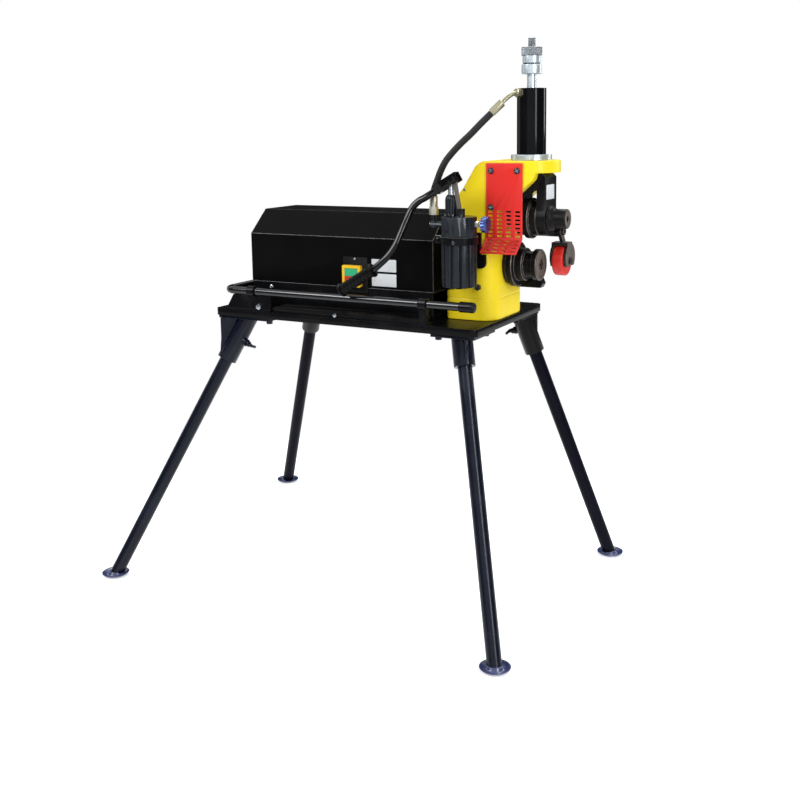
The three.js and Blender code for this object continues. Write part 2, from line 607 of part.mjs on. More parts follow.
// The depth nut that stops on the cylinder, and its knurled lock collar.
function depthNutBody() {
  const bore = ram.rodRadius + depthNut.boreGap;
  const chamfer = 2 * runningGap;
  const top = depthNut.ringHeight + depthNut.bodyHeight;
  const { ringRadius, ringHeight, bodyRadius } = depthNut;
  return turned([[bore, 0], [ringRadius - chamfer, 0], [ringRadius, chamfer],
    [ringRadius, ringHeight - chamfer],
    [bodyRadius, ringHeight], [bodyRadius, top], [bore, top], [bore, 0]],
  new THREE.Vector3(ram.x, 0, nutBottom), axes.z, sides.large);
}
add("depth_nut", depthNutBody(), brightSteel);
function depthCollar() {
  const shape = toothed(depthNut.collarRadius, depthNut.knurlDepth, depthNut.knurls, 1);
  const bore = rodZ(collarBottom - overrun, collarTop + overrun, ram.x, 0,
    ram.rodRadius + depthNut.boreGap, sides.medium);
  return cut(slab(shape, "xy", collarBottom, collarTop).translate(ram.x, 0, 0), bore);
}
add("depth_collar", depthCollar(), brightSteel);

// The slide block that the ram pushes down, with two ears round the upper roll.
function slideYoke() {
  const w = yoke.halfWidth;
  const postBottom = spindleZ + yoke.postBottom;
  const bridgeZ = yokeTop - yoke.bridgeThick;
  const block = slab(outline([
    [yokeBack, postBottom], [earLeft, postBottom], [earLeft, bridgeZ], [earRightInner, bridgeZ],
    [earRightInner, upperZ], [earRight, upperZ], [earRight, yokeTop - yoke.topChamfer],
    [earRight - yoke.topChamfer, yokeTop], [yokeBack, yokeTop],
  ]), "xz", -w, w);
  const hubs = [[earLeft - yoke.earLeftThick, earLeft], [earRightInner, earRight]]
    .map(([x0, x1]) => rodX(x0, x1, 0, upperZ, yoke.hubRadius, sides.large));
  const lug = rodX(earRightInner, earRight, yoke.lugY, upperZ - yoke.lugDrop, yoke.lugRadius, sides.medium);
  const arm = slab(outline([
    [0, upperZ - yoke.hubRadius], [0, upperZ], [w, upperZ],
    [yoke.lugY + yoke.lugRadius, upperZ - yoke.lugDrop], [yoke.lugY, upperZ - yoke.lugDrop - yoke.lugRadius],
  ]), "yz", earRightInner, earRight);
  const reach = overrun + yoke.earRightThick;
  const shaftHole = rodX(yokeBack - overrun, earRight + reach, 0, upperZ,
    upperRoll.shaftRadius + upperRoll.shaftGap, sides.medium);
  const rodHole = rodZ(yokeTop - yoke.rodSocket, yokeTop + overrun, ram.x, 0, ram.rodRadius + runningGap,
    sides.medium);
  const pivotHole = rodX(earRightInner - overrun, earRight + reach, yoke.lugY, upperZ - yoke.lugDrop,
    stabiliser.boltRadius + runningGap, sides.small);
  return cut(join(block, ...hubs, lug, arm), shaftHole, rodHole, pivotHole);
}
add("slide_yoke", slideYoke(), darkSteel);

// The upper roll's shaft, with the flared nose outside the ear and a hexagon socket in its end.
function upperShaft() {
  const x0 = earLeft - yoke.earLeftThick;
  const shoulder = earRight + seatGap - x0;
  const end = shoulder + nose.length;
  const r = upperRoll.shaftRadius;
  const body = turned([[0, 0], [r, 0], [r, shoulder], [nose.flareRadius, shoulder],
    [nose.flareRadius, shoulder + nose.chamfer], [nose.radius, shoulder + nose.flareLength],
    [nose.radius, end - nose.chamfer], [nose.radius - nose.chamfer, end], [0, end]],
  new THREE.Vector3(x0, 0, upperZ), axes.x, sides.medium);
  return cut(body, rodX(x0 + end - nose.hexDepth, x0 + end + overrun, 0, upperZ, nose.hexRadius, 6));
}
add("upper_shaft", upperShaft(), darkSteel);

function upperRollBody() {
  const bore = upperRoll.shaftRadius + upperRoll.shaftGap;
  const { ridgeRadius, landRadius, innerLand, ridgeWidth, outerLand, chamfer } = upperRoll;
  const a = innerLand;
  const b = innerLand + ridgeWidth;
  const end = b + outerLand;
  return turned([[bore, 0], [landRadius, 0], [landRadius, a], [ridgeRadius - chamfer, a],
    [ridgeRadius, a + chamfer], [ridgeRadius, b - chamfer], [ridgeRadius - chamfer, b], [landRadius, b],
    [landRadius, end - chamfer], [landRadius - chamfer, end], [bore, end], [bore, 0]],
  new THREE.Vector3(rollLeft, 0, upperZ), axes.x, sides.large);
}
add("upper_roll", upperRollBody(), darkSteel);

// The power-driven shaft, through the casting and into the gearbox.
const columnLeftX = casting.left + casting.columnStep;
const shoulderX = driveRoll.start - seatGap;
const noseEndX = driveEnd - driveRoll.wall - seatGap;
function driveSpindle() {
  const length = noseEndX - (columnLeftX - spindle.tailLength);
  const tail = spindle.tailLength;
  const shoulder = shoulderX - columnLeftX + tail;
  const body = turned([[0, 0], [spindle.tailRadius, 0], [spindle.tailRadius, tail], [spindle.radius, tail],
    [spindle.radius, shoulder], [spindle.noseRadius, shoulder], [spindle.noseRadius, length], [0, length]],
  new THREE.Vector3(columnLeftX - tail, 0, spindleZ), axes.x, sides.medium);
  const thread = rodX(noseEndX - drawBolt.shankLength, noseEndX + overrun, 0, spindleZ,
    drawBolt.shankRadius + runningGap, sides.small);
  return cut(body, thread);
}
add("drive_spindle", driveSpindle(), brightSteel);

function driveRollBody() {
  const d = driveRoll;
  const bore = spindle.noseRadius + runningGap;
  const a = d.flangeThick;
  const b = a + d.landThick;
  const c = b + d.grooveWidth;
  const end = c + d.endThick;
  return turned([[bore, 0], [d.flangeRadius - d.chamfer, 0], [d.flangeRadius, d.chamfer],
    [d.flangeRadius, a - d.chamfer],
    [d.flangeRadius - d.chamfer, a], [d.landRadius, a], [d.landRadius, b - d.chamfer],
    [d.landRadius - d.chamfer, b],
    [d.grooveRadius, b], [d.grooveRadius, c], [d.endRadius - d.chamfer, c], [d.endRadius, c + d.chamfer],
    [d.endRadius, end - d.chamfer], [d.endRadius - d.chamfer, end], [d.holeRadius, end],
    [d.holeRadius, end - d.wall], [bore, end - d.wall], [bore, 0]],
  new THREE.Vector3(d.start, 0, spindleZ), axes.x, sides.large);
}
add("drive_roll", driveRollBody(), darkSteel);

function drawBoltBody() {
  const headStart = driveEnd - driveRoll.wall + seatGap;
  const shankStart = noseEndX - drawBolt.shankLength + runningGap;
  const head = rodX(headStart, headStart + drawBolt.headLength, 0, spindleZ, drawBolt.headRadius,
    sides.medium);
  const shank = rodX(shankStart, headStart + overrun, 0, spindleZ, drawBolt.shankRadius, sides.small);
  const socketEnd = headStart + drawBolt.headLength;
  return cut(join(head, shank), rodX(socketEnd - drawBolt.hexDepth, socketEnd + overrun, 0, spindleZ,
    drawBolt.hexRadius, 6));
}
add("draw_bolt", drawBoltBody(), darkSteel);

function bearingCover() {
  const x0 = casting.right + seatGap;
  const ring = turned([[0, 0], [bearing.radius, 0], [bearing.radius, bearing.thick - runningGap],
    [bearing.radius - 2 * runningGap, bearing.thick], [0, bearing.thick]],
  new THREE.Vector3(x0, 0, spindleZ), axes.x, sides.large);
  return cut(ring, rodX(x0 - overrun, x0 + bearing.thick + overrun, 0, spindleZ,
    spindle.radius + spindle.boreGap, sides.medium));
}
add("spindle_bearing_cover", bearingCover(), darkSteel);

// The black stop block under the drive roll, with its small bright screw.
function pipeStopBlock() {
  const p = pipeStop;
  const x0 = casting.right + seatGap;
  const z0 = table.top + p.bottom;
  const block = slab(outline([[x0, z0], [x0 + p.right - p.left / 2, z0], [x0 + p.right, z0 + p.left],
    [x0 + p.right - p.left / 2, z0 + p.height], [x0, z0 + p.height]]), "xz", p.front, p.front + p.depth);
  const screw = rodZ(z0 + p.height - weldBite, z0 + p.height + p.screwReach, x0 + p.right / 2,
    p.front + p.depth / 2, p.screwRadius, sides.small);
  return join(block, screw);
}
add("pipe_stop_block", pipeStopBlock(), blackPaint);

// The red guard: a flat sheet whose lower edge flares out, with rows of slots and three screws.
function frontGuard() {
  const g = guard;
  const face = -(casting.neckHalf + seatGap + g.thick);
  const back = face + g.thick;
  const [top, fold, bottom] = [g.top, g.fold, g.bottom].map((height) => table.top + height);
  const lean = Math.hypot(g.flareOut, fold - bottom);
  const shift = (g.thick * (fold - bottom)) / lean;
  const drop = (g.thick * g.flareOut) / lean;
  const sheet = slab(outline([[back, top], [face, top], [face, fold], [face - g.flareOut, bottom],
    [face - g.flareOut + shift, bottom - drop], [back, fold - drop]]), "yz", g.left, g.right);
  const middle = (g.left + g.right) / 2;
  const slots = [];
  const firstRow = fold + g.slotPitch / 2;
  for (let column = 0; column < g.columns; column += 1) {
    const x = middle + (column - (g.columns - 1) / 2) * g.columnPitch;
    const [x0, x1] = [x - g.slotWidth / 2, x + g.slotWidth / 2];
    for (let row = 0; row < g.slotRows; row += 1) {
      const z = firstRow + row * g.slotPitch;
      slots.push(box([x0, face - overrun, z - g.slotHeight / 2], [x1, back + overrun, z + g.slotHeight / 2]));
    }
    for (let row = 0; row < g.flareRows; row += 1) {
      const share = (row + 2 / 3) / (g.flareRows + 1 / 3);
      const slot = box([x0, -2 * g.thick, -g.slotHeight / 2], [x1, 2 * g.thick, g.slotHeight / 2]);
      slot.rotateX(-Math.atan2(g.flareOut, fold - bottom));
      slots.push(slot.translate(0, face - g.flareOut * share, fold - (fold - bottom) * share));
    }
  }
  const screws = [[g.left + g.screwInset, top - g.screwDrop], [g.right - g.screwInset, top - g.screwDrop],
    [g.left + g.screwInset, top - g.lowScrewDrop]]
    .map(([x, z]) => rodY(face - g.screwThick, face + weldBite, x, z, g.screwRadius, sides.small));
  return join(cut(sheet, ...slots), ...screws);
}
add("front_guard", frontGuard(), redPaint);

// The pipe stabiliser: an arm on the yoke's lug, a fork, its pin and the red roller.
const lugZ = upperZ - yoke.lugDrop;
const rollerLeft = stabiliser.rollerX - stabiliser.rollerWidth / 2;
const rollerRight = stabiliser.rollerX + stabiliser.rollerWidth / 2;
const cheekLeft = rollerLeft - stabiliser.sideGap - stabiliser.cheekThick;
const cheekRight = rollerRight + stabiliser.sideGap + stabiliser.cheekThick;
const bridgeBottom = rollerZ + stabiliser.rollerRadius + stabiliser.sideGap;
const bridgeTop = bridgeBottom + stabiliser.bridgeThick;
function stabiliserArm() {
  const s = stabiliser;
  const x0 = earRight + runningGap;
  const x1 = x0 + s.armThick;
  const w = s.armWidth / 2;
  const plate = slab(outline([
    [yoke.lugY - w, lugZ], [s.rollerY - w, bridgeTop - weldBite], [s.rollerY + w, bridgeTop - weldBite],
    [yoke.lugY + w, lugZ],
  ]), "yz", x0, x1);
  const eye = rodX(x0, x1, yoke.lugY, lugZ, s.armWidth / 2 + weldBite, sides.medium);
  const head = rodX(x1 - weldBite, x1 + s.boltHeadThick, yoke.lugY, lugZ, s.boltHead, sides.small);
  const shank = rodX(earRightInner - overrun, x1, yoke.lugY, lugZ, s.boltRadius, sides.small);
  const socketHole = rodX(x1 + s.boltHeadThick / 2, x1 + s.boltHeadThick + overrun, yoke.lugY, lugZ,
    s.boltRadius, 6);
  return join(cut(join(plate, eye, head, shank), socketHole), stabiliserFork());
}

function stabiliserFork() {
  const s = stabiliser;
  const y = s.rollerY + s.cheekOut;
  const z = rollerZ + s.cheekLift;
  const flat = z - s.cheekFlat;
  const cheeks = [[cheekLeft, cheekLeft + s.cheekThick], [cheekRight - s.cheekThick, cheekRight]]
    .map(([x0, x1]) => join(
      cut(rodX(x0, x1, y, z, s.cheekRadius, sides.medium),
        box([x0 - overrun, y - 2 * s.cheekRadius, z - 2 * s.cheekRadius],
        [x1 + overrun, y + 2 * s.cheekRadius, flat])),
      box([x0, s.rollerY - s.bridgeDepth / 2, z], [x1, s.rollerY + s.bridgeDepth / 2, bridgeTop]),
    ));
  const bridge = box([cheekLeft, s.rollerY - s.bridgeDepth / 2, bridgeBottom],
    [cheekRight, s.rollerY + s.bridgeDepth / 2, bridgeTop]);
  const hole = rodX(cheekLeft - overrun, cheekRight + overrun, s.rollerY, rollerZ,
    s.pinRadius + runningGap, sides.medium);
  return cut(join(bridge, ...cheeks), hole);
}
add("stabiliser_arm", stabiliserArm(), darkSteel);

function stabiliserPin() {
  const s = stabiliser;
  const shank = rodX(cheekLeft - overrun, cheekRight + overrun, s.rollerY, rollerZ, s.pinRadius,
    sides.medium);
  const heads = [[cheekLeft - seatGap - s.pinHeadThick, cheekLeft - seatGap],
    [cheekRight + seatGap, cheekRight + seatGap + s.pinHeadThick]]
    .map(([x0, x1]) => rodX(x0, x1, s.rollerY, rollerZ, s.pinHead, sides.small));
  return join(shank, ...heads);
}
add("stabiliser_pin", stabiliserPin(), darkSteel);

function stabiliserRoller() {
  const s = stabiliser;
  const bore = s.pinRadius + 2 * runningGap;
  const w = s.rollerWidth;
  const r = s.rollerRadius;
  const e = s.rollerRound;
  return turned([[bore, 0], [r - e, 0], [r, e], [r, w - e], [r - e, w], [bore, w], [bore, 0]],
    new THREE.Vector3(rollerLeft, s.rollerY, rollerZ), axes.x, sides.large);
}
add("stabiliser_roller", stabiliserRoller(), redPolymer);

// The folded sheet cover over the motor, open below, with a slot for the coupling in its right end.
function motorCover() {
  const c = cover;
  const bottom = motorFloor + seatGap;
  const [ridge, top] = [table.top + c.ridge, table.top + c.top];
  const section = (inset) => outline([[-c.half + inset, inset ? bottom - overrun : bottom],
    [c.half - inset, inset ? bottom - overrun : bottom], [c.half - inset, ridge - inset / 2],
    [c.topHalf - inset / 2, top - inset], [-c.topHalf + inset / 2, top - inset],
    [-c.half + inset, ridge - inset / 2]]);
  const outer = slab(section(0), "yz", c.left, c.right);
  const inner = slab(section(c.sheet), "yz", c.left + c.sheet, c.right - c.sheet);
  const slotBody = box([c.right - 2 * c.sheet, -c.slotHalf, bottom - overrun],
    [c.right + overrun, c.slotHalf, spindleZ]);
  const slotRound = rodX(c.right - 2 * c.sheet, c.right + overrun, 0, spindleZ, c.slotHalf, sides.medium);
  const glandHole = rodX(c.left - overrun, c.left + 2 * c.sheet, gland.y, table.top + gland.height,
    gland.snoutRadius + runningGap, sides.small);
  return cut(outer, inner, slotBody, slotRound, glandHole);
}
add("motor_cover", motorCover(), blackPaint);

// The flat plate on the table and the folded box on it that carries the motor and the cover.
function motorBaseBody() {
  const b = basePlate;
  const m = motorBase;
  const plateHalf = table.depth / 2 - b.sideInset;
  const half = cover.half - m.sideInset;
  const plate = box([b.left, -plateHalf, table.top], [b.right, plateHalf, baseTop]);
  const bolt = rodY(-plateHalf - b.boltHead, -plateHalf + weldBite, (b.left + b.right) / 2 - b.boltShift,
    (table.top + baseTop) / 2, b.thick / 2 - runningGap, sides.small);
  const section = outline([[-half, table.top], [-half + m.sheet, table.top],
    [-half + m.sheet, motorFloor - m.sheet], [half - m.sheet, motorFloor - m.sheet],
    [half - m.sheet, table.top], [half, table.top], [half, motorFloor], [-half, motorFloor]]);
  return join(plate, bolt, slab(section, "yz", cover.left + m.endInset, cover.right - m.endInset));
}
add("motor_base", motorBaseBody(), blackPaint);

// What the cover hides: the motor, the reduction gearbox and the coupling to the spindle.
function motorBody() {
  const m = motor;
  const right = gearbox.left + weldBite;
  const z = motorFloor + m.height;
  const shell = rodX(m.left + m.capLength, right, 0, z, m.radius, sides.medium);
  const fanCap = rodX(m.left, right - m.radius, 0, z, m.cap, sides.medium);
  const middle = (m.left + right) / 2;
  const feet = box([middle - m.footLength / 2, -m.footHalf, motorFloor],
    [middle + m.footLength / 2, m.footHalf, z]);
  return join(shell, fanCap, feet);
}
function gearMotor() {
  const g = gearbox;
  const top = motorFloor + g.height;
  const shape = outline([[-g.half, motorFloor], [g.half, motorFloor], [g.half, top - g.chamfer],
    [g.half - g.chamfer, top], [-g.half + g.chamfer, top], [-g.half, top - g.chamfer]]);
  const right = g.left + g.length;
  const output = rodX(right - g.outputDepth, right + overrun, 0, spindleZ,
    spindle.tailRadius + runningGap, sides.medium);
  return cut(join(motorBody(), slab(shape, "yz", g.left, right)), output);
}
add("gear_motor", gearMotor(), motorGrey);
function couplingBody() {
  const c = coupling;
  const bore = spindle.tailRadius + c.boreGap;
  const a = (c.length - c.waistWidth) / 2;
  return turned([[bore, 0], [c.radius, 0], [c.radius, a], [c.waistRadius, a],
    [c.waistRadius, a + c.waistWidth],
    [c.radius, a + c.waistWidth], [c.radius, c.length], [bore, c.length], [bore, 0]],
  new THREE.Vector3(c.left, 0, spindleZ), axes.x, sides.medium);
}
add("coupling", couplingBody(), darkSteel);

// The cable gland in the cover's left end.
function cableGland() {
  const z = table.top + gland.height;
  const x = cover.left - seatGap;
  const nut = rodX(x - gland.nutLength, x, gland.y, z, gland.nutRadius, 6);
  const snout = rodX(x - gland.snoutLength, cover.left + cover.sheet, gland.y, z, gland.snoutRadius,
    sides.small);
  return cut(join(nut, snout), rodX(x - 2 * gland.snoutLength, cover.left + gland.snoutLength, gland.y, z,
    gland.bore, sides.small));
}
add("cable_gland", cableGland(), blackRubber);

// The start and stop switch on the cover: back plate, bezel and two push buttons.
const switchFace = -cover.half - seatGap;
const bezelBack = switchFace - switchBox.plateThick - seatGap;
const bezelFront = bezelBack - switchBox.deep;
const switchZ = table.top + switchBox.z;
function switchPlate() {
  const s = switchBox;
  const x = s.x + s.plateShift;
  const z = switchZ + s.plateLift;
  return slab(roundedRect(x - s.plateWidth / 2, z - s.plateHeight / 2, x + s.plateWidth / 2,
    z + s.plateHeight / 2,
    Array(4).fill(s.rim / 2)), "xz", switchFace - s.plateThick, switchFace, 3);
}
add("switch_plate", switchPlate(), blackRubber);
const windowHalf = switchBox.width / 2 - switchBox.rim;
const windowTop = switchBox.height / 2 - switchBox.rim;
function switchBezel() {
  const s = switchBox;
  const frame = slab(roundedRect(s.x - s.width / 2, switchZ - s.height / 2, s.x + s.width / 2,
    switchZ + s.height / 2,
    Array(4).fill(s.rim / 2)), "xz", bezelFront, bezelBack, 3);
  return cut(frame, box([s.x - windowHalf, bezelFront - overrun, switchZ - windowTop],
    [s.x + windowHalf, bezelBack - s.floor, switchZ + windowTop]));
}
add("switch_bezel", switchBezel(), yellowPolymer);
function pushButton(side) {
  const s = switchBox;
  const g = s.buttonGap;
  const [z0, z1] = side > 0 ? [g / 2, windowTop - g] : [-windowTop + g, -g / 2];
  return box([s.x - windowHalf + g, bezelFront - s.buttonProud, switchZ + z0],
    [s.x + windowHalf - g, bezelBack - s.floor - s.travel - seatGap, switchZ + z1]);
}
add("start_button", pushButton(1), greenPolymer);
add("stop_button", pushButton(-1), redPolymer);

// The carry bar: one tube bent round the left end of the table, on four brackets.
function carryBarTube() {
  const b = carryBar;
  const place = (x, y) => new THREE.Vector3(x, y, barZ);
  const p = [place(b.right, -barY), place(b.left + b.bend, -barY), place(b.left, -barY + b.bend),
    place(b.left, barY - b.bend), place(b.left + b.bend, barY), place(b.rearRight, barY)];
  const front = bend(p[1], place(b.left, -barY), p[2]);
  const rear = bend(p[3], place(b.left, barY), p[4]);
  return tubeAlong([straight(p[0], p[1]), front, straight(p[2], p[3]), rear, straight(p[4], p[5])],
    b.radius, sides.tube);
}
add("carry_bar", carryBarTube(), blackPaint);
function barCapBody(right, y) {
  const start = right - barCap.length / 2;
  const outer = rodX(start, right + barCap.length / 2, y, barZ, barCap.radius, sides.small);
  return cut(outer, rodX(start - overrun, right + seatGap, y, barZ, carryBar.radius + barCap.wall / 2,
    sides.small));
}
add("bar_cap_front", barCapBody(carryBar.right, -barY), blackRubber);
add("bar_cap_rear", barCapBody(carryBar.rearRight, barY), blackRubber);
// A bracket: a foot on the table, a post and a ring round the bar, with a wide bolted plate on the left ones.
function barBracket(x, side, braced) {
  const b = bracket;
  const y = side * barY;
  const edge = side * (table.depth / 2 - overrun);
  const [x0, x1] = [x - b.width / 2, x + b.width / 2];
  const inner = edge - side * b.footDepth;
  const low = Math.min(edge, inner);
  const high = Math.max(edge, inner);
  const pieces = [
    box([x0, low, table.top], [x1, high, table.top + b.footThick]),
    box([x0, y - b.postThick / 2, table.top], [x1, y + b.postThick / 2, barZ]),
    rodX(x0, x1, y, barZ, b.ringRadius, sides.medium),
  ];
  if (braced) {
    const [left, right, top] = [x - brace.left, x + brace.right, barZ - carryBar.radius - runningGap];
    const face = y + (side * brace.thick) / 2;
    const ends = [face - side * weldBite, face + side * brace.boltHead].sort((p, q) => p - q);
    pieces.push(box([left, low, table.top], [right, high, table.top + b.footThick]));
    pieces.push(slab(outline([[left, table.top], [right, table.top], [right, top],
      [left + brace.slant, top]]),
      "xz", y - brace.thick / 2, y + brace.thick / 2));
    pieces.push(rodY(...ends, x + brace.boltX, table.top + brace.boltHeight, brace.boltRadius, 6));
  }
  return cut(join(...pieces), rodX(x0 - overrun, x1 + overrun, y, barZ, carryBar.radius + b.ringGap,
    sides.medium));
}
add("bar_bracket_front_right", barBracket(bracketPlaces.right, -1, false), blackPaint);
add("bar_bracket_front_left", barBracket(bracketPlaces.left, -1, true), blackPaint);
add("bar_bracket_rear_right", barBracket(bracketPlaces.right, 1, false), blackPaint);
add("bar_bracket_rear_left", barBracket(bracketPlaces.left, 1, true), blackPaint);

// The hand pump: a fluted tank and head held by a band, on a bracket on the casting's front face.
const bandZ = table.top + pump.bandMiddle;
const headTop = table.top + pump.headTop;
const portZ = table.top + pump.portHeight;
const linkY = pumpY + link.offset;
const knobZ = table.top + knob.height;
const headRight = pump.x + pump.radius;
const knobStart = headRight + knob.stemLength;
function fluted() {
  const count = pump.flutes * 4;
  return outline(Array.from({ length: count }, (_, i) => {
    const angle = (2 * Math.PI * i) / count;
    const r = pump.radius - (i % 4 === 0 ? pump.fluteDepth : 0);
    return [pump.x + r * Math.cos(angle), pumpY + r * Math.sin(angle)];
  }));
}
function pumpTank() {
  const bottom = table.top + pump.tankBottom;
  const tank = slab(fluted(), "xy", bottom, bandZ - pump.joint / 2);
  const drain = rodZ(bottom - pump.drainHeight, bottom + weldBite, pump.x, pumpY, pump.drainRadius,
    sides.small);
  return join(tank, drain);
}
add("pump_tank", pumpTank(), pumpGrey);
function pumpHead() {
  const body = slab(fluted(), "xy", bandZ + pump.joint / 2, headTop);
  const port = rod(new THREE.Vector3(pump.x, -pump.portY, portZ), axes.x.clone().negate(),
    pump.portRadius, pump.portReach, sides.small);
  const lugs = [-1, 1].map((side) => {
    const inner = link.thick / 2 + runningGap;
    const faces = [side * inner, side * (inner + pump.lugThick)].sort((a, b) => a - b);
    return box([pump.lugX - pump.lugLength / 2, linkY + faces[0], headTop - weldBite],
      [pump.lugX + pump.lugLength / 2, linkY + faces[1], headTop + pump.lugHeight]);
  });
  const nut = rodX(headRight - pump.fluteDepth - weldBite, headRight + knob.nutLength, pumpY, knobZ,
    knob.nutRadius, 6);
  const rodHole = rodZ(headTop - pump.rodInset, headTop + overrun, pump.sleeveX, pumpY,
    pump.rodRadius + pump.rodGap, sides.small);
  return cut(join(body, port, nut, ...lugs), rodHole);
}
add("pump_head", pumpHead(), pumpGrey);
function pumpBand() {
  const b = pump.bandHeight / 2;
  const inner = pump.radius + seatGap;
  const ring = turned([[inner, -b], [pump.bandRadius, -b], [pump.bandRadius, b], [inner, b], [inner, -b]],
    new THREE.Vector3(pump.x, pumpY, bandZ), axes.z, sides.large);
  const ear = box([pump.x - pump.bandRadius - pump.earReach, pumpY - pump.earDepth / 2, bandZ - b],
    [pump.x - (inner + pump.bandRadius) / 2, pumpY + pump.earDepth / 2, bandZ + b]);
  const bolt = rodY(pumpY - pump.earDepth, pumpY + pump.earDepth,
    pump.x - pump.bandRadius - pump.earReach / 2, bandZ, b / 2, 6);
  return join(ring, ear, bolt);
}
add("pump_band", pumpBand(), blackPaint);
function pumpBracketPlate() {
  const p = pumpBracket;
  const back = -(casting.halfWidth + seatGap);
  const [bottom, top] = [table.top + p.bottom, table.top + p.top];
  const radii = [p.round, p.round, p.round / 2, p.round / 2];
  const plate = slab(roundedRect(p.left, bottom, p.right, top, radii), "xz", back - p.thick, back);
  const behindGuard = box([guard.left - seatGap, back - p.thick - overrun,
    table.top + guard.bottom - 2 * guard.thick],
    [p.right + overrun, back + overrun, top + overrun]);
  return cut(plate, behindGuard);
}
add("pump_bracket", pumpBracketPlate(), blackPaint);

// The plunger's sleeve, the plunger rod with its eye, and the flat link beside it.
const rodPinX = lever.pivotX - lever.rodPinPlace * Math.cos(pitchAngle);
const rodPinZ = pivotZ - lever.rodPinPlace * Math.sin(pitchAngle);
function plungerSleeve() {
  const p = pump;
  const bore = p.rodRadius + p.rodGap;
  const h = p.sleeveHeight;
  const t = p.sleeveTaper;
  return turned([[bore, 0], [p.sleeveRadius, 0], [p.sleeveRadius, h - t], [p.sleeveRadius - t / 2, h],
    [bore, h], [bore, 0]],
    new THREE.Vector3(p.sleeveX, pumpY, headTop + seatGap), axes.z, sides.medium);
}
add("plunger_sleeve", plungerSleeve(), pumpGrey);
function plungerRod() {
  const bottom = headTop - pump.rodInset + overrun;
  const shaft = rodZ(bottom, rodPinZ - lever.eyeHole, pump.sleeveX, pumpY, pump.rodRadius, sides.small);
  const half = lever.eyeThick / 2;
  const eye = rodY(pumpY - half, pumpY + half, rodPinX, rodPinZ, lever.eyeRadius, sides.medium);
  const hole = rodY(pumpY - half - overrun, pumpY + half + overrun, rodPinX, rodPinZ, lever.eyeHole,
    sides.medium);
  return cut(join(shaft, eye), hole);
}
add("plunger_rod", plungerRod(), brightSteel);
function pumpLink() {
  const footZ = headTop + link.footLift;
  const down = new THREE.Vector2(pump.lugX - lever.pivotX, footZ - pivotZ);
  const across = new THREE.Vector2(-down.y, down.x).normalize().multiplyScalar(link.width / 2);
  const half = link.thick / 2;
  const bar = slab(outline([
    [lever.pivotX + across.x, pivotZ + across.y], [lever.pivotX - across.x, pivotZ - across.y],
    [pump.lugX - across.x, footZ], [pump.lugX + across.x, footZ],
  ]), "xz", linkY - half, linkY + half);
  const eye = rodY(linkY - half, linkY + half, lever.pivotX, pivotZ, link.eyeRadius, sides.medium);
  return cut(join(bar, eye), rodY(linkY - link.thick, linkY + link.thick, lever.pivotX, pivotZ,
    link.holeRadius, sides.medium));
}
add("pump_link", pumpLink(), brightSteel);

// The pump lever: a channel over the two pins, then a tube bent down and out to the grip.
function leverPath() {
  const l = lever;
  const steps = [
    [-l.headRun, 0, -l.headRun * Math.tan(pitchAngle)],
    [-l.elbowRun, 0, -l.elbowFall],
    [-l.turnRun, -l.turnOut, -l.turnFall],
    [-l.joggleRun / 2, -l.joggleOut / 2, -l.joggleFall / 2],
    [-l.joggleRun / 2, -l.joggleOut / 2, -l.joggleFall / 2],
    [-l.tailRun, -l.tailOut, -l.tailFall],
    [-l.gripRun, 0, -l.gripFall],
  ];
  const place = new THREE.Vector3(l.pivotX, pumpY, pivotZ);
  return steps.map((step) => place.add(new THREE.Vector3(...step)).clone());
}
const leverPoints = leverPath();
function leverBody() {
  const l = lever;
  const [start, elbow, turn, mid, low, tail, end] = leverPoints;
  const between = (a, b, share) => a.clone().lerp(b, share);
  const [fromTurn, toLow] = [between(turn, mid, l.turnShare), between(mid, low, l.lowShare)];
  const [fromLow, fromTail] = [between(low, tail, l.tailShare), between(tail, end, l.endShare)];
  const tube = tubeAlong([straight(start, elbow), bend(elbow, turn, fromTurn), straight(fromTurn, toLow),
    bend(toLow, low, fromLow, 4), bend(fromLow, tail, fromTail, 3), straight(fromTail, end)],
  l.tubeRadius, sides.tube);
  const w = l.channelHalf;
  const hollow = box([-l.channelLength + 2 * l.tubeRadius, -w + l.cheek, -l.channelBottom - overrun],
    [l.channelBack + overrun, w - l.cheek, l.channelTop - l.web]);
  const channel = cut(box([-l.channelLength, -w, -l.channelBottom], [l.channelBack, w, l.channelTop]),
    hollow);
  const pins = [[0, l.pinRadius], [-l.rodPinPlace, l.rodPinRadius]]
    .map(([x, radius]) => rodY(-w - overrun, w + overrun, x, 0, radius, sides.small));
  const tilted = (piece) => piece.rotateY(-pitchAngle).translate(l.pivotX, pumpY, pivotZ);
  return join(tilted(join(channel, ...pins)), cut(tube, tilted(hollow)));
}
add("pump_lever", leverBody(), blackPaint);
function leverGrip() {
  const [from, to] = leverPoints.slice(-2);
  const along = to.clone().sub(from).normalize();
  const length = from.distanceTo(to) + grip.flange;
  const start = grip.flange;
  const bore = lever.tubeRadius + seatGap + grip.wall / 4;
  const span = length - start - 2 * grip.flange;
  const pitch = span / grip.ribs;
  const profile = [[bore, start], [grip.flangeRadius, start], [grip.flangeRadius, start + grip.flange]];
  for (let i = 0; i < grip.ribs; i += 1) {
    const x = start + grip.flange + i * pitch;
    profile.push([grip.radius - grip.ribDepth, x], [grip.radius, x + pitch / 4]);
    profile.push([grip.radius, x + (pitch * 3) / 4]);
  }
  profile.push([grip.radius - grip.ribDepth, length - grip.flange],
    [grip.flangeRadius, length - grip.flange]);
  profile.push([grip.flangeRadius, length], [bore, length], [bore, start]);
  return turned(profile, from, along, sides.small);
}
add("lever_grip", leverGrip(), blackRubber);

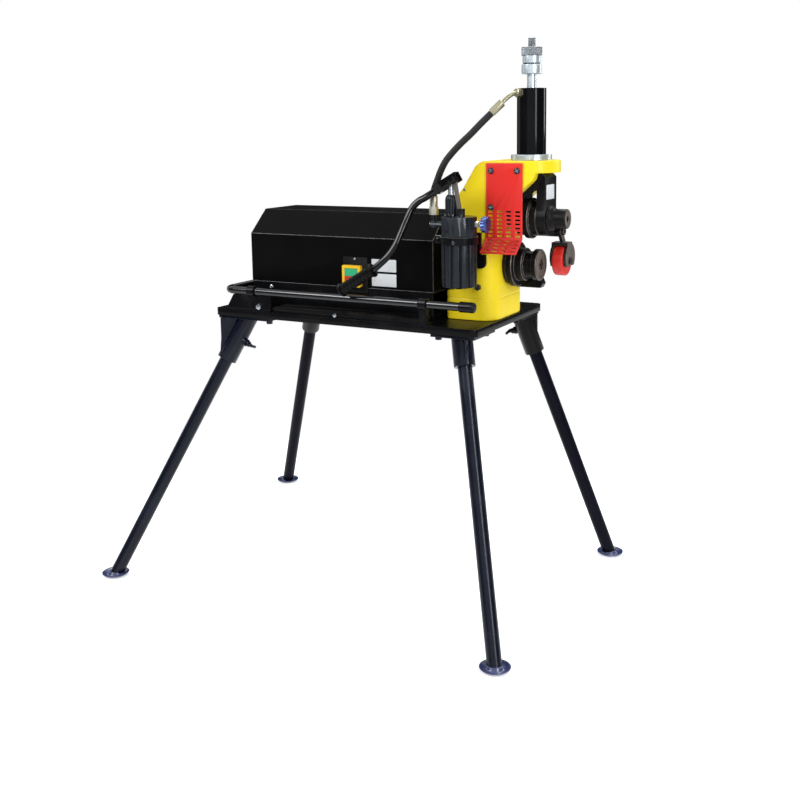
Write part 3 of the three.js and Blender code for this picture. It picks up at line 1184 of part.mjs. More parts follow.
// The release valve's bright ribbed knob on the head's right side.
function releaseKnob() {
  const start = headRight + knob.nutLength + seatGap;
  const stem = rodX(start, knobStart + weldBite, pumpY, knobZ, knob.stemRadius, sides.small);
  const disc = slab(toothed(knob.radius, knob.ribDepth, knob.ribs, 2), "yz", knobStart,
    knobStart + knob.thick).translate(0, pumpY, knobZ);
  return join(stem, disc);
}
add("release_knob", releaseKnob(), brightSteel);

// The hydraulic hose from the pump's port to the cylinder, with its steel ends.
const portAngle = THREE.MathUtils.degToRad(fitting.angle);
const portOut = new THREE.Vector3(Math.cos(portAngle), Math.sin(portAngle), 0);
const portPlace = new THREE.Vector3(ram.x, 0, cylinderTop - fitting.drop).addScaledVector(portOut,
  cylinder.radius + seatGap);
const hoseRoute = hose.route.map(([x, y, height]) => new THREE.Vector3(x, y, table.top + height));
const hoseTop = hoseRoute[0];
const hoseFoot = hoseRoute[hoseRoute.length - 1];
const hoseLine = new THREE.CatmullRomCurve3(hoseRoute, false, "centripetal");
add("hydraulic_hose", tubeAlong([[hoseLine, hose.steps]], hose.radius, hose.sides), blackRubber);
function upperHoseEnd() {
  const f = fitting;
  const nut = rod(portPlace, portOut, f.nutRadius, f.nutLength, 6);
  const away = hoseLine.getTangent(0).negate();
  const ferruleStart = at(hoseTop, [away, seatGap]);
  const ferrule = rod(ferruleStart, away, f.ferruleRadius, f.ferruleLength, sides.small);
  const bendFrom = at(portPlace, [portOut, f.nutLength - weldBite]);
  const bendTo = at(ferruleStart, [away, f.ferruleLength - weldBite]);
  const control = at(bendFrom, [portOut, f.nutLength]);
  const pipe = tubeAlong([bend(bendFrom, control, bendTo)], f.pipeRadius, sides.tube);
  return join(nut, pipe, ferrule);
}
add("hose_end_cylinder", upperHoseEnd(), zincSteel);
function lowerHoseEnd() {
  const f = fitting;
  const top = hoseFoot.z - seatGap;
  const [x, y] = [hoseFoot.x, hoseFoot.y];
  const nutTop = top - f.lowFerrule;
  const ferrule = rodZ(nutTop, top, x, y, f.ferruleRadius, sides.small);
  const nut = rodZ(nutTop - f.nutHeight, nutTop + weldBite, x, y, f.nutRadius, 6);
  const stem = rodZ(portZ - f.elbowRadius, nutTop, x, y, f.elbowRadius, sides.small);
  const portFace = pump.x - pump.portReach - seatGap;
  const branch = rodX(x - f.elbowRadius, portFace, -pump.portY, portZ, f.elbowRadius, sides.small);
  return join(ferrule, nut, stem, branch);
}
add("hose_end_pump", lowerHoseEnd(), zincSteel);

// The origin: on the floor, at the middle of the outline of the four feet.
const feet = Object.values(legs).map((place) => legLine(place).bottom);
const middleOf = (values) => (Math.min(...values) + Math.max(...values)) / 2;
machine.position.set(-middleOf(feet.map((f) => f.x)), -middleOf(feet.map((f) => f.y)), 0);
const product = new THREE.Group();
product.add(machine);
export default product;
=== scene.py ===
# %% [markdown]
# # A roll grooving machine, dressed for the camera
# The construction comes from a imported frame: every tube, casting, roll and joint is already in its
# place and at its size. This lesson gives each of those pieces its rounded edges, its finish and
# the small hardware that a plain model leaves out. Lengths are metres, +Z is up, and X runs along
# the table towards the rolls.

# %% Load the frame
import json
import math

import bmesh
import bpy
import numpy as np
from mathutils import Matrix, Vector


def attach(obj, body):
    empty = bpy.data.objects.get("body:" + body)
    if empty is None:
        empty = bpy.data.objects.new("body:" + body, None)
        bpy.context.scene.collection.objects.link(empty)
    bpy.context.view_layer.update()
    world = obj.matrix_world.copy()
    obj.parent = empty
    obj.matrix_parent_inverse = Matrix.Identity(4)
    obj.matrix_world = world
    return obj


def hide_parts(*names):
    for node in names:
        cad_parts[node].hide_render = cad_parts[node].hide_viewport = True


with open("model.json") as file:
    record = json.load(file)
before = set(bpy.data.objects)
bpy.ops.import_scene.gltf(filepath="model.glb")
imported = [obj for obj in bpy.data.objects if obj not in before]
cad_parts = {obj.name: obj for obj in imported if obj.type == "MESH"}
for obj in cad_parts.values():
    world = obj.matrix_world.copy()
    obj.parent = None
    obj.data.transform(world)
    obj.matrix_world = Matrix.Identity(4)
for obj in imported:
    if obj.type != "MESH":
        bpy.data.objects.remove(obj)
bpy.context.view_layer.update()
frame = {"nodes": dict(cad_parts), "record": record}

mm = 0.001
nodes = frame["nodes"]
body_of = {node: body for body, members in frame["record"]["behaviour"]["bodies"].items() for node in members}

# %% [markdown]
# ## The camera
# The machine was photographed from its front right, a little above the table. The camera's place
# and turn were worked out from the feet, the table's corners and the cylinder. The lens follows
# from the focal length in pixels, and the shift puts the horizon where the picture has it.

# %% Camera
picture_size = 800
focal_pixels = 1047.6
centre_pixels = (412.93, 290.0)
camera_place = Vector((1.40199, -2.34519, 1.15613))
camera_yaw, camera_pitch, camera_roll = (math.radians(a) for a in (28.399, 8.755, -0.733))


def camera_matrix(place, yaw, pitch, roll):
    """The forward line turns by yaw round Z and dips by pitch, and roll turns the picture."""
    forward = Vector((-math.sin(yaw) * math.cos(pitch), math.cos(yaw) * math.cos(pitch), -math.sin(pitch)))
    level = Vector((math.cos(yaw), math.sin(yaw), 0))
    upright = level.cross(forward)
    right = math.cos(roll) * level + math.sin(roll) * upright
    up = -math.sin(roll) * level + math.cos(roll) * upright
    turn = Matrix((right, up, -forward)).transposed().to_4x4()
    return Matrix.Translation(place) @ turn


camera_data = bpy.data.cameras.new("camera")
camera_data.sensor_width = 36
camera_data.lens = camera_data.sensor_width * focal_pixels / picture_size
camera_data.shift_x = (picture_size / 2 - centre_pixels[0]) / picture_size
camera_data.shift_y = (centre_pixels[1] - picture_size / 2) / picture_size
camera = bpy.data.objects.new("camera", camera_data)
camera.matrix_world = camera_matrix(camera_place, camera_yaw, camera_pitch, camera_roll)
bpy.context.scene.collection.objects.link(camera)
bpy.context.scene.camera = camera
print("camera: lens", round(camera_data.lens, 2), "mm")

# %% [markdown]
# ## Nodes in one line
# The world, the floor and the finishes are all node trees. One helper adds a node, says what it is
# and fills its inputs, and the others stand on it for sums, ramps and noise.

# %% Node helpers


def fill(tree, socket, value):
    """Links a socket to another one, or sets it to a plain number, vector or colour."""
    if isinstance(value, bpy.types.NodeSocket):
        tree.links.new(value, socket)
    else:
        socket.default_value = (*value, 1) if socket.type == "RGBA" else value


def add_node(tree, kind, inputs=None, **settings):
    """A node of a kind with its settings. Each input, by name or number, gets a socket or a value."""
    node = tree.nodes.new("ShaderNode" + kind)
    for name, value in settings.items():
        setattr(node, name, value)
    for key, value in (inputs or {}).items():
        fill(tree, node.inputs[key], value)
    return node


def math_node(tree, operation, first, second, clamp=False):
    """One sum of two sockets or plain numbers."""
    return add_node(tree, "Math", {0: first, 1: second}, operation=operation, use_clamp=clamp).outputs[0]


def ramp_node(tree, value, low, high):
    """value is spread so that low gives 0 and high gives 1, with a soft step between."""
    limits = {"Value": value, "From Min": low, "From Max": high}
    return add_node(tree, "MapRange", limits, interpolation_type="SMOOTHSTEP").outputs["Result"]


def stretched(tree, position, scale):
    """position times scale, axis by axis, so that a small number draws a pattern out along its axis."""
    return add_node(tree, "Mapping", {"Vector": position, "Scale": scale}).outputs["Vector"]


def noise_node(tree, position, scale, detail, rough=0.5):
    """Cloudy noise at position, with scale in bumps for each metre."""
    inputs = {"Vector": position, "Scale": scale, "Detail": detail, "Roughness": rough}
    return add_node(tree, "TexNoise", inputs).outputs["Fac"]


def new_material(name, constants):
    """A material, its tree and its Principled shader, with constants on the shader's own sockets."""
    material = bpy.data.materials.new(name)
    material.use_nodes = True
    surface = material.node_tree.nodes["Principled BSDF"]
    for key, value in constants.items():
        fill(material.node_tree, surface.inputs[key], value)
    return material, material.node_tree, surface


# %% [markdown]
# ## Light and floor
# The photograph has a white cut-out look: no horizon, and only a breath of shadow under the feet.
# A large soft box stands to the upper left, a narrower one to the right draws the long highlights
# on tubes, a third one lights the top and a fourth the back. The floor and the world are white to
# the camera and to reflections, and plain grey to everything else, so they don't wash out the paint.

# %% World and floor
scene = bpy.context.scene
scene.view_settings.view_transform = "Standard"
world_tint, world_strength = (0.94, 0.97, 1.0), 0.42
floor_size, floor_level, floor_tone, floor_glow = 40, -0.0005, 0.93, 0.42
shadow_reach, white_from = 0.85, 1.5


def seen_rays(tree):
    """1 for a ray from the camera, off a gloss or through glass, and 0 for soft light."""
    path = add_node(tree, "LightPath").outputs
    first = math_node(tree, "MAXIMUM", path["Is Camera Ray"], path["Is Glossy Ray"])
    return math_node(tree, "MAXIMUM", first, path["Is Transmission Ray"])


def mix_shaders(tree, factor, first, second):
    """first where factor is 0 and second where it is 1."""
    return add_node(tree, "MixShader", {0: factor, 1: first.outputs[0], 2: second.outputs[0]})


def dress_world():
    """The background shows white to seen rays, and lights the scene with a soft grey."""
    scene.world = bpy.data.worlds.new("studio")
    scene.world.use_nodes = True
    tree = scene.world.node_tree
    tree.nodes.clear()
    soft = add_node(tree, "Background", {"Color": world_tint, "Strength": world_strength})
    white = add_node(tree, "Background", {"Color": (1, 1, 1), "Strength": 1.0})
    add_node(tree, "OutputWorld", {0: mix_shaders(tree, seen_rays(tree), soft, white).outputs[0]})


def floor_material():
    """White paper round the machine, which keeps its shadow. To seen rays it glows a little there,
    and turns into the background's own white as the distance from the middle grows."""
    material, tree, surface = new_material("studio_floor", {
        "Base Color": (floor_tone, floor_tone, floor_tone), "Roughness": 0.9, "Specular IOR Level": 0.1})
    place = add_node(tree, "TexCoord").outputs["Object"]
    away = add_node(tree, "VectorMath", {0: place}, operation="LENGTH").outputs["Value"]
    glow = add_node(tree, "Emission", {"Strength": floor_glow})
    near = add_node(tree, "AddShader", {0: surface.outputs[0], 1: glow.outputs[0]})
    far = ramp_node(tree, away, shadow_reach, white_from)
    seen = mix_shaders(tree, far, near, add_node(tree, "Emission"))
    mix = mix_shaders(tree, seen_rays(tree), surface, seen)
    fill(tree, tree.nodes["Material Output"].inputs["Surface"], mix.outputs[0])
    return material


def lay_floor():
    """A square, floor_size on a side, a hair under the feet."""
    half = floor_size / 2
    mesh = bpy.data.meshes.new("studio_floor")
    square = [(half, half, 0), (-half, half, 0), (-half, -half, 0), (half, -half, 0)]
    mesh.from_pydata(square, [], [(0, 1, 2, 3)])
    plane = bpy.data.objects.new("studio_floor", mesh)
    plane.matrix_world = Matrix.Translation((0, 0, floor_level))
    scene.collection.objects.link(plane)
    mesh.materials.append(floor_material())


dress_world()
lay_floor()

# %% Lamps
machine_middle = Vector((0.05, 0, 0.85))
cool = (0.94, 0.97, 1.0)


def soft_box(name, place, width, height, watts, tint=(1, 1, 1)):
    """A rectangular lamp at place that looks at the machine's middle."""
    lamp = bpy.data.lights.new(name, "AREA")
    lamp.shape = "RECTANGLE"
    lamp.size, lamp.size_y = width, height
    lamp.energy = watts
    lamp.color = tint
    holder = bpy.data.objects.new(name, lamp)
    aim = (machine_middle - Vector(place)).to_track_quat("-Z", "Y").to_matrix().to_4x4()
    holder.matrix_world = Matrix.Translation(Vector(place)) @ aim
    holder.visible_camera = False
    scene.collection.objects.link(holder)


soft_box("key_lamp", (-1.6, -2.6, 2.9), 1.8, 1.4, 92)
soft_box("side_lamp", (2.7, -1.5, 1.9), 0.5, 2.2, 56, cool)
soft_box("top_lamp", (0.3, 1.0, 3.2), 2.4, 1.2, 60)
soft_box("back_lamp", (2.3, 2.5, 1.9), 0.8, 1.8, 30)
print("studio:", len(bpy.data.lights), "lamps")

# %% [markdown]
# ## Dark curtains
# A gloss black face shows whatever stands in front of it. In a white room that is white, and the
# paint turns grey. Photographers hang dark cloth round such a machine for that reason, and cut
# the picture out afterwards, so three dark curtains do the same here. Only reflections see them. The
# gap behind the camera is what bright steel shows along its middle, and the two narrow gaps at the
# sides draw the long lines on the black drum.

# %% Curtains for the reflections
curtain_radius, curtain_levels, curtain_steps = 4.4, (0.02, 3.2), 24
curtain_cast = 1.04


def curtain(name, first_angle, last_angle, tone):
    """A dull upright screen: radius * (cos a, sin a) for angles a between the two, at both levels."""
    angle = np.radians(np.linspace(first_angle, last_angle, curtain_steps + 1))
    ring = curtain_radius * np.stack([np.cos(angle), np.sin(angle)], axis=1)
    places = np.concatenate([np.column_stack([ring, np.full(len(ring), level)]) for level in curtain_levels])
    low = np.arange(curtain_steps)
    high = low + len(ring)
    mesh = bpy.data.meshes.new(name)
    mesh.from_pydata(places.tolist(), [], np.stack([low, low + 1, high + 1, high], axis=1).tolist())
    screen = bpy.data.objects.new(name, mesh)
    scene.collection.objects.link(screen)
    for ray in ("camera", "diffuse", "shadow", "transmission"):
        setattr(screen, "visible_" + ray, False)
    material, _, _ = new_material(name, {
        "Base Color": (tone, tone, tone * curtain_cast), "Roughness": 1.0, "Specular IOR Level": 0.0})
    mesh.materials.append(material)


curtain("curtain_left", -168, -98, 0.14)
curtain("curtain_right", -22, 38, 0.03)
curtain("curtain_back", 47, 162, 0.02)

# %% [markdown]
# ## Effects that finishes share
# Paint, steel and rubber all show the same few effects in different amounts: a fine skin on the
# surface, soft smudges from handling, and edges rubbed bright or dull, which on some finishes are
# also a painted highlight. Each effect is one node group with named inputs, placed in every finish
# with that finish's own numbers. The group gives out masks and heights only, and the shader itself
# stays in the material.

# %% The shared effects


def new_group(name, numbers, outputs):
    """An empty node group that reads a Position and named numbers, with its inner ends."""
    group = bpy.data.node_groups.new(name, "ShaderNodeTree")
    group.interface.new_socket(name="Position", in_out="INPUT", socket_type="NodeSocketVector")
    for label, value in numbers.items():
        socket = group.interface.new_socket(name=label, in_out="INPUT", socket_type="NodeSocketFloat")
        socket.default_value = value
    for label in outputs:
        group.interface.new_socket(name=label, in_out="OUTPUT", socket_type="NodeSocketFloat")
    return group, group.nodes.new("NodeGroupInput").outputs, group.nodes.new("NodeGroupOutput").inputs


def surface_skin_group():
    """Fine bumps of a sprayed, cast or moulded skin: two sizes of noise, mixed by their share."""
    numbers = {"Grain": 900.0, "Wave": 60.0, "Wave Share": 0.5}
    group, read, give = new_group("surface_skin", numbers, ["Height"])
    fine = noise_node(group, read["Position"], read["Grain"], 2.0)
    broad = noise_node(group, read["Position"], read["Wave"], 2.0)
    mix = add_node(group, "Mix", {0: read["Wave Share"], 2: fine, 3: broad})
    fill(group, give["Height"], mix.outputs[0])
    return group


def handling_group():
    """Where hands, oil and dust have been: broad patches broken up by finer ones, and thin scratches."""
    group, read, give = new_group("handling_marks", {"Patch": 9.0}, ["Smudge", "Scratch"])
    patch = noise_node(group, read["Position"], read["Patch"], 5.0, 0.6)
    lines = noise_node(group, stretched(group, read["Position"], (1.0, 1.0, 14.0)), 160.0, 3.0, 0.6)
    fill(group, give["Smudge"], ramp_node(group, patch, 0.42, 0.68))
    fill(group, give["Scratch"], ramp_node(group, lines, 0.66, 0.72))
    return group


def worn_and_lit_edges_group():
    """An edge shows where the surface's own normal leaves a rounded copy of it, broken up by noise.
    Finishes colour it as rubbed wear, and some as a painted highlight.
    """
    group, read, give = new_group("worn_and_lit_edges", {"Radius": 0.0012, "Break": 0.5}, ["Edge"])
    bevel = add_node(group, "Bevel", {"Radius": read["Radius"]}, samples=4).outputs["Normal"]
    own = add_node(group, "NewGeometry").outputs["Normal"]
    dot = add_node(group, "VectorMath", {0: bevel, 1: own}, operation="DOT_PRODUCT").outputs["Value"]
    edge = ramp_node(group, math_node(group, "SUBTRACT", 1.0, dot), 0.02, 0.16)
    patch = ramp_node(group, noise_node(group, read["Position"], 42.0, 5.0, 0.65), 0.36, 0.62)
    keep = math_node(group, "MULTIPLY", patch, read["Break"])
    amount = math_node(group, "ADD", keep, math_node(group, "SUBTRACT", 1.0, read["Break"]), clamp=True)
    fill(group, give["Edge"], math_node(group, "MULTIPLY", edge, amount))
    return group


def brushed_group():
    """Turning or brushing lines, once their place is drawn out along them, and a slow sheen."""
    group, read, give = new_group("brushed_lines", {"Fine": 900.0}, ["Height", "Sheen"])
    fill(group, give["Height"], noise_node(group, read["Position"], read["Fine"], 2.0, 0.6))
    fill(group, give["Sheen"], noise_node(group, read["Position"], 30.0, 4.0, 0.6))
    return group


groups = {"skin": surface_skin_group(), "handling": handling_group(), "edge": worn_and_lit_edges_group(),
          "brushed": brushed_group()}
print("effects:", ", ".join(sorted(groups)))

# %% [markdown]
# ## Finishes
# A finish is a Principled shader with its constants on the shader's own sockets, and a few
# masks that change colour, roughness and height over the surface. Patterns read Object
# coordinates, and every piece has its place in its mesh, so a pattern is in real metres. The depth
# of the bumps and the width of worn edges are given in millimetres.

# %% A finish from its numbers
finishes = {}


def add_group(tree, key, position, **values):
    """One of the shared effects, with its inputs set by name."""
    inputs = {label.replace("_", " "): value for label, value in values.items()}
    return add_node(tree, "Group", {"Position": position, **inputs}, node_tree=groups[key]).outputs


def mix_colour(tree, factor, first, second):
    """first where factor is 0 and second where it is 1. Both are sockets or plain colours."""
    return add_node(tree, "Mix", {0: factor, 6: first, 7: second}, data_type="RGBA").outputs[2]


def bump(tree, height, distance, normal=None):
    """A height in metres, distance from black to white, turned into a normal."""
    inputs = {"Strength": 1.0, "Distance": distance, "Height": height}
    if normal is not None:
        inputs["Normal"] = normal
    return add_node(tree, "Bump", inputs).outputs["Normal"]


def finish(name, colour, shade, worn_and_lit, rough, metal=0.0, specular=0.5, coat=0.0, coat_rough=0.05,
           grain=900.0, wave=60.0, wave_share=0.5, depth=0.04, edge=0.5, edge_width=1.2,
           rough_swing=0.12, sheen_lines=None, stretch=None, patch=9.0, broken=0.6):
    """A finish: colour drifts to shade in broad patches and to the edge colour along the edges, which
    is rubbed wear and, on some finishes, a painted highlight. Roughness swings with the smudges.
    sheen_lines is how fine the brushing is, where the finish has any."""
    material, tree, surface = new_material(name, {
        "Metallic": metal, "Specular IOR Level": specular, "Coat Weight": coat, "Coat Roughness": coat_rough})
    place = add_node(tree, "TexCoord").outputs["Object"]
    skin = add_group(tree, "skin", place, Grain=grain, Wave=wave, Wave_Share=wave_share)
    marks = add_group(tree, "handling", place, Patch=patch)
    rim = add_group(tree, "edge", place, Radius=edge_width * mm, Break=broken)
    base = mix_colour(tree, marks["Smudge"], colour, shade)
    base = mix_colour(tree, math_node(tree, "MULTIPLY", rim["Edge"], edge), base, worn_and_lit)
    swing = math_node(tree, "MULTIPLY", marks["Smudge"], rough_swing)
    scratches = math_node(tree, "MULTIPLY", marks["Scratch"], rough_swing / 2)
    roughness = math_node(tree, "ADD", math_node(tree, "ADD", swing, scratches), rough)
    normal = bump(tree, skin["Height"], depth * mm)
    if sheen_lines is not None:
        line_place = place if stretch is None else stretched(tree, place, stretch)
        lines = add_group(tree, "brushed", line_place, Fine=sheen_lines)
        normal = bump(tree, lines["Height"], depth * mm, normal)
        sheen = math_node(tree, "MULTIPLY", lines["Sheen"], rough_swing)
        roughness = math_node(tree, "ADD", roughness, sheen)
    for key, value in (("Base Color", base), ("Roughness", roughness), ("Normal", normal)):
        fill(tree, surface.inputs[key], value)
    finishes[name] = material


# %% [markdown]
# The black parts are not one black. The stand has a thick gloss paint with a navy cast, the
# cover is a smoother sprayed sheet, and the slide and the rolls are oiled black steel with a
# brown cast where the oil has worn thin. The back legs get a darker copy of the leg paint, which
# is painted shade. Yellow and red are gloss paint over a rough casting and over sheet steel. Each
# finish gives its colour, its shade, its edge colour, which is wear and on some finishes a painted
# highlight, and its roughness.

# %% Paints
finish("stand_paint", (0.0036, 0.0036, 0.0042), (0.0055, 0.0055, 0.006), (0.035, 0.035, 0.04), 0.2,
       specular=0.10, wave=90)
finish("leg_paint", (0.0038, 0.0050, 0.0118), (0.0066, 0.0088, 0.0180), (0.06, 0.08, 0.12), 0.22,
       specular=0.2, wave=70, depth=0.06)
# painted shade: a darker, less glossy copy of the leg paint, for the back legs
finish("shaded_leg_paint", (0.0034, 0.0034, 0.0080), (0.0050, 0.0050, 0.0110), (0.03, 0.03, 0.055), 0.26,
       specular=0.05, wave=70, depth=0.06, edge=0.4)
finish("foot_paint", (0.038, 0.048, 0.125), (0.050, 0.064, 0.16), (0.24, 0.29, 0.48), 0.14,
       coat=0.3, wave=160, depth=0.08, edge=0.6)
# painted highlight: the pale, nearly unbroken edge colour draws the cover's folds as thin light lines
finish("cover_paint", (0.0026, 0.0026, 0.0028), (0.0034, 0.0034, 0.0036), (0.55, 0.55, 0.56), 0.28,
       specular=0.032, wave=30, depth=0.01, edge=1.0, edge_width=2.2, rough_swing=0.05, patch=4.0,
       broken=0.15)
finish("bar_paint", (0.0030, 0.0036, 0.0050), (0.0045, 0.0056, 0.0078), (0.03, 0.035, 0.045), 0.075,
       wave=50, depth=0.02, edge=0.2, rough_swing=0.05)
finish("lever_paint", (0.0026, 0.0026, 0.0030), (0.0038, 0.0038, 0.0042), (0.03, 0.03, 0.034), 0.07,
       specular=0.24, depth=0.02, edge=0.2, rough_swing=0.05)
finish("cylinder_paint", (0.0030, 0.0031, 0.0038), (0.0042, 0.0045, 0.0052), (0.06, 0.065, 0.08), 0.10,
       specular=0.10, wave=45, depth=0.01, edge=0.4, rough_swing=0.05)
finish("yellow_paint", (0.82, 0.625, 0.012), (0.77, 0.575, 0.011), (0.93, 0.79, 0.20), 0.36, specular=0.22,
       coat=0.08, coat_rough=0.15, grain=420, wave=70, wave_share=0.6, depth=0.12, edge_width=2.2)
finish("red_paint", (0.66, 0.024, 0.018), (0.60, 0.020, 0.015), (0.85, 0.20, 0.16), 0.28,
       specular=0.3, coat=0.15, coat_rough=0.1, wave=90, edge=0.6)
finish("cast_black", (0.0038, 0.0038, 0.0042), (0.0072, 0.0070, 0.0070), (0.11, 0.108, 0.105), 0.3,
       specular=0.12, grain=300, wave=80, depth=0.16, edge=0.6, edge_width=2.0)
finish("pump_paint", (0.0065, 0.0092, 0.0130), (0.0100, 0.0138, 0.0185), (0.075, 0.09, 0.11), 0.22,
       metal=0.1, specular=0.34, grain=700, edge=0.55)
finish("motor_paint", (0.10, 0.115, 0.13), (0.13, 0.145, 0.16), (0.3, 0.32, 0.34), 0.4,
       metal=0.2, wave=80, grain=500, depth=0.1, edge=0.4)
finish("plate_white", (0.60, 0.62, 0.63), (0.53, 0.55, 0.56), (0.72, 0.72, 0.72), 0.4,
       specular=0.3, wave=150, depth=0.02, edge=0.2, patch=25.0)

# %% Steels
finish("oiled_steel", (0.0095, 0.009, 0.0088), (0.024, 0.020, 0.0165), (0.22, 0.19, 0.16), 0.28, metal=0.15,
       specular=0.2, wave=120, depth=0.05, edge=0.85, edge_width=1.8, sheen_lines=520,
       stretch=(1.0, 0.06, 0.06))
# painted highlight: the pale edge colour draws bright lines along the rolls' rims, on top of their rubbed
# wear
finish("roll_steel", (0.0050, 0.0048, 0.0054), (0.012, 0.0100, 0.0092), (0.48, 0.42, 0.35), 0.22, metal=0.06,
       specular=0.10, wave=90, edge=0.95, edge_width=2.4, sheen_lines=900, stretch=(1.0, 0.04, 0.04))
# painted light: the lighter brown-grey of the faces that look towards the side lamp, over a bare-steel look
finish("worn_and_lit_face", (0.085, 0.066, 0.054), (0.130, 0.108, 0.090), (0.38, 0.34, 0.29), 0.42, metal=0.2,
       specular=0.25, depth=0.06, edge=0.6, patch=30.0, sheen_lines=700, stretch=(1.0, 0.3, 0.3))
# painted highlight: the rims' chamfers get this lighter steel, which is also their rubbed wear
finish("rim_steel", (0.11, 0.096, 0.082), (0.040, 0.034, 0.030), (0.42, 0.38, 0.33), 0.34,
       metal=0.8, wave=130, patch=26.0)
finish("dark_screw", (0.030, 0.036, 0.044), (0.018, 0.021, 0.026), (0.45, 0.50, 0.56), 0.2,
       metal=0.75, wave=150, depth=0.03, edge=0.9, broken=0.2)
finish("satin_steel", (0.56, 0.635, 0.68), (0.43, 0.49, 0.525), (0.80, 0.85, 0.88), 0.26, metal=0.65,
       wave=120, depth=0.03, edge=0.4, rough_swing=0.08, sheen_lines=900, stretch=(0.05, 0.05, 1.0))
finish("bright_steel", (0.54, 0.60, 0.64), (0.42, 0.47, 0.51), (0.80, 0.84, 0.87), 0.15, metal=1.0,
       wave=120, depth=0.02, edge=0.35, rough_swing=0.08, sheen_lines=800, stretch=(0.05, 0.05, 1.0))
finish("worked_steel", (0.33, 0.365, 0.385), (0.16, 0.175, 0.19), (0.66, 0.70, 0.73), 0.24,
       metal=0.8, wave=200, edge=0.55, rough_swing=0.1, sheen_lines=900)
finish("plain_steel", (0.30, 0.31, 0.31), (0.22, 0.225, 0.22), (0.55, 0.56, 0.56), 0.38,
       metal=0.55, wave=110, sheen_lines=600)
finish("link_steel", (0.115, 0.108, 0.096), (0.070, 0.064, 0.056), (0.36, 0.35, 0.33), 0.36,
       metal=0.5, wave=110, edge=0.6, sheen_lines=600)
finish("zinc_steel", (0.43, 0.40, 0.28), (0.27, 0.245, 0.16), (0.74, 0.72, 0.58), 0.22,
       metal=0.9, wave=160, edge=0.6, sheen_lines=700)
finish("zinc_pale", (0.56, 0.555, 0.47), (0.36, 0.35, 0.28), (0.82, 0.82, 0.76), 0.2,
       metal=0.9, wave=160, edge=0.6, sheen_lines=700)
# painted highlight: the near-white edge colour puts white glints on the knob's edges, over rubbed bare metal
finish("knob_chrome", (0.11, 0.16, 0.42), (0.05, 0.075, 0.25), (0.92, 0.94, 1.0), 0.1,
       metal=0.85, specular=0.6, depth=0.03, edge=0.8)

# %% Rubber and plastic
finish("rubber", (0.0030, 0.0030, 0.0034), (0.0050, 0.0050, 0.0054), (0.03, 0.03, 0.031), 0.3,
       specular=0.08, grain=1400, wave=200, depth=0.06, edge=0.25)
finish("hose_rubber", (0.0115, 0.0115, 0.0118), (0.017, 0.017, 0.0175), (0.03, 0.03, 0.031), 0.5,
       specular=0.2, grain=1400, wave=200, depth=0.08, edge=0.25)
finish("cap_rubber", (0.004, 0.004, 0.0065), (0.0065, 0.0065, 0.010), (0.025, 0.025, 0.034), 0.18,
       specular=0.13, wave=120, edge=0.2)
finish("roller_plastic", (0.62, 0.024, 0.016), (0.52, 0.018, 0.013), (0.80, 0.13, 0.08), 0.34,
       specular=0.35, wave=110, depth=0.06, edge=0.4)
finish("button_green", (0.030, 0.42, 0.19), (0.026, 0.37, 0.17), (0.14, 0.55, 0.32), 0.3,
       specular=0.35, wave=200, depth=0.02, edge=0.3)
finish("button_red", (0.60, 0.024, 0.020), (0.52, 0.02, 0.018), (0.75, 0.14, 0.12), 0.3,
       specular=0.35, wave=200, depth=0.02, edge=0.3)
finish("bezel_yellow", (0.86, 0.50, 0.012), (0.80, 0.45, 0.011), (0.92, 0.66, 0.15), 0.3,
       specular=0.3, wave=200, depth=0.02, edge=0.3)
finish("black_plastic", (0.0042, 0.0042, 0.0046), (0.0065, 0.0065, 0.007), (0.05, 0.05, 0.052), 0.36,
       specular=0.16, grain=1200, wave=160, depth=0.05)
print("finishes:", len(finishes))

# %% [markdown]
# ## Surfaces from arrays
# Most pieces of this machine are turned, drawn or bent, so each is a profile carried round an
# axis or along a path. A grid of points holds the whole shape: its rows go along the piece and
# its columns go round it. Numbers are in millimetres from the middle of the table, and one helper
# moves them to the frame, whose middle is a little to one side of that.

# %% Grids, lines and frames
layout_shift = np.array((37.0, -5.0, 0.0))
x_axis, y_axis, z_axis = np.eye(3)
soft_angle = 33
facing = 0.96


def unit(vectors):
    """Vectors divided by their lengths."""
    vectors = np.asarray(vectors, float)
    return vectors / np.linalg.norm(vectors, axis=-1, keepdims=True)


def rounded(points, cut, steps=4):
    """Each inner corner becomes a parabola that leaves the line cut before it and joins it cut
    after it, or nearly half-way to the next corner where that is nearer."""
    points = np.asarray(points, float)
    corner = points[1:-1]
    back, ahead = points[:-2] - corner, points[2:] - corner
    back_length = np.linalg.norm(back, axis=1, keepdims=True)
    ahead_length = np.linalg.norm(ahead, axis=1, keepdims=True)
    first = corner + back / back_length * np.minimum(cut, back_length * 0.48)
    last = corner + ahead / ahead_length * np.minimum(cut, ahead_length * 0.48)
    t = np.linspace(0, 1, steps + 1)[None, :, None]
    arcs = (1 - t) ** 2 * first[:, None] + 2 * t * (1 - t) * corner[:, None] + t ** 2 * last[:, None]
    return np.concatenate([points[:1], arcs.reshape(-1, points.shape[1]), points[-1:]])


def smoothed(mesh, sharp=None):
    """Faces shade smoothly, and edges sharper than the angle stay sharp, where one is given."""
    mesh.polygons.foreach_set("use_smooth", np.ones(len(mesh.polygons), bool))
    if sharp is not None:
        mesh.set_sharp_from_angle(angle=math.radians(sharp))
    return mesh


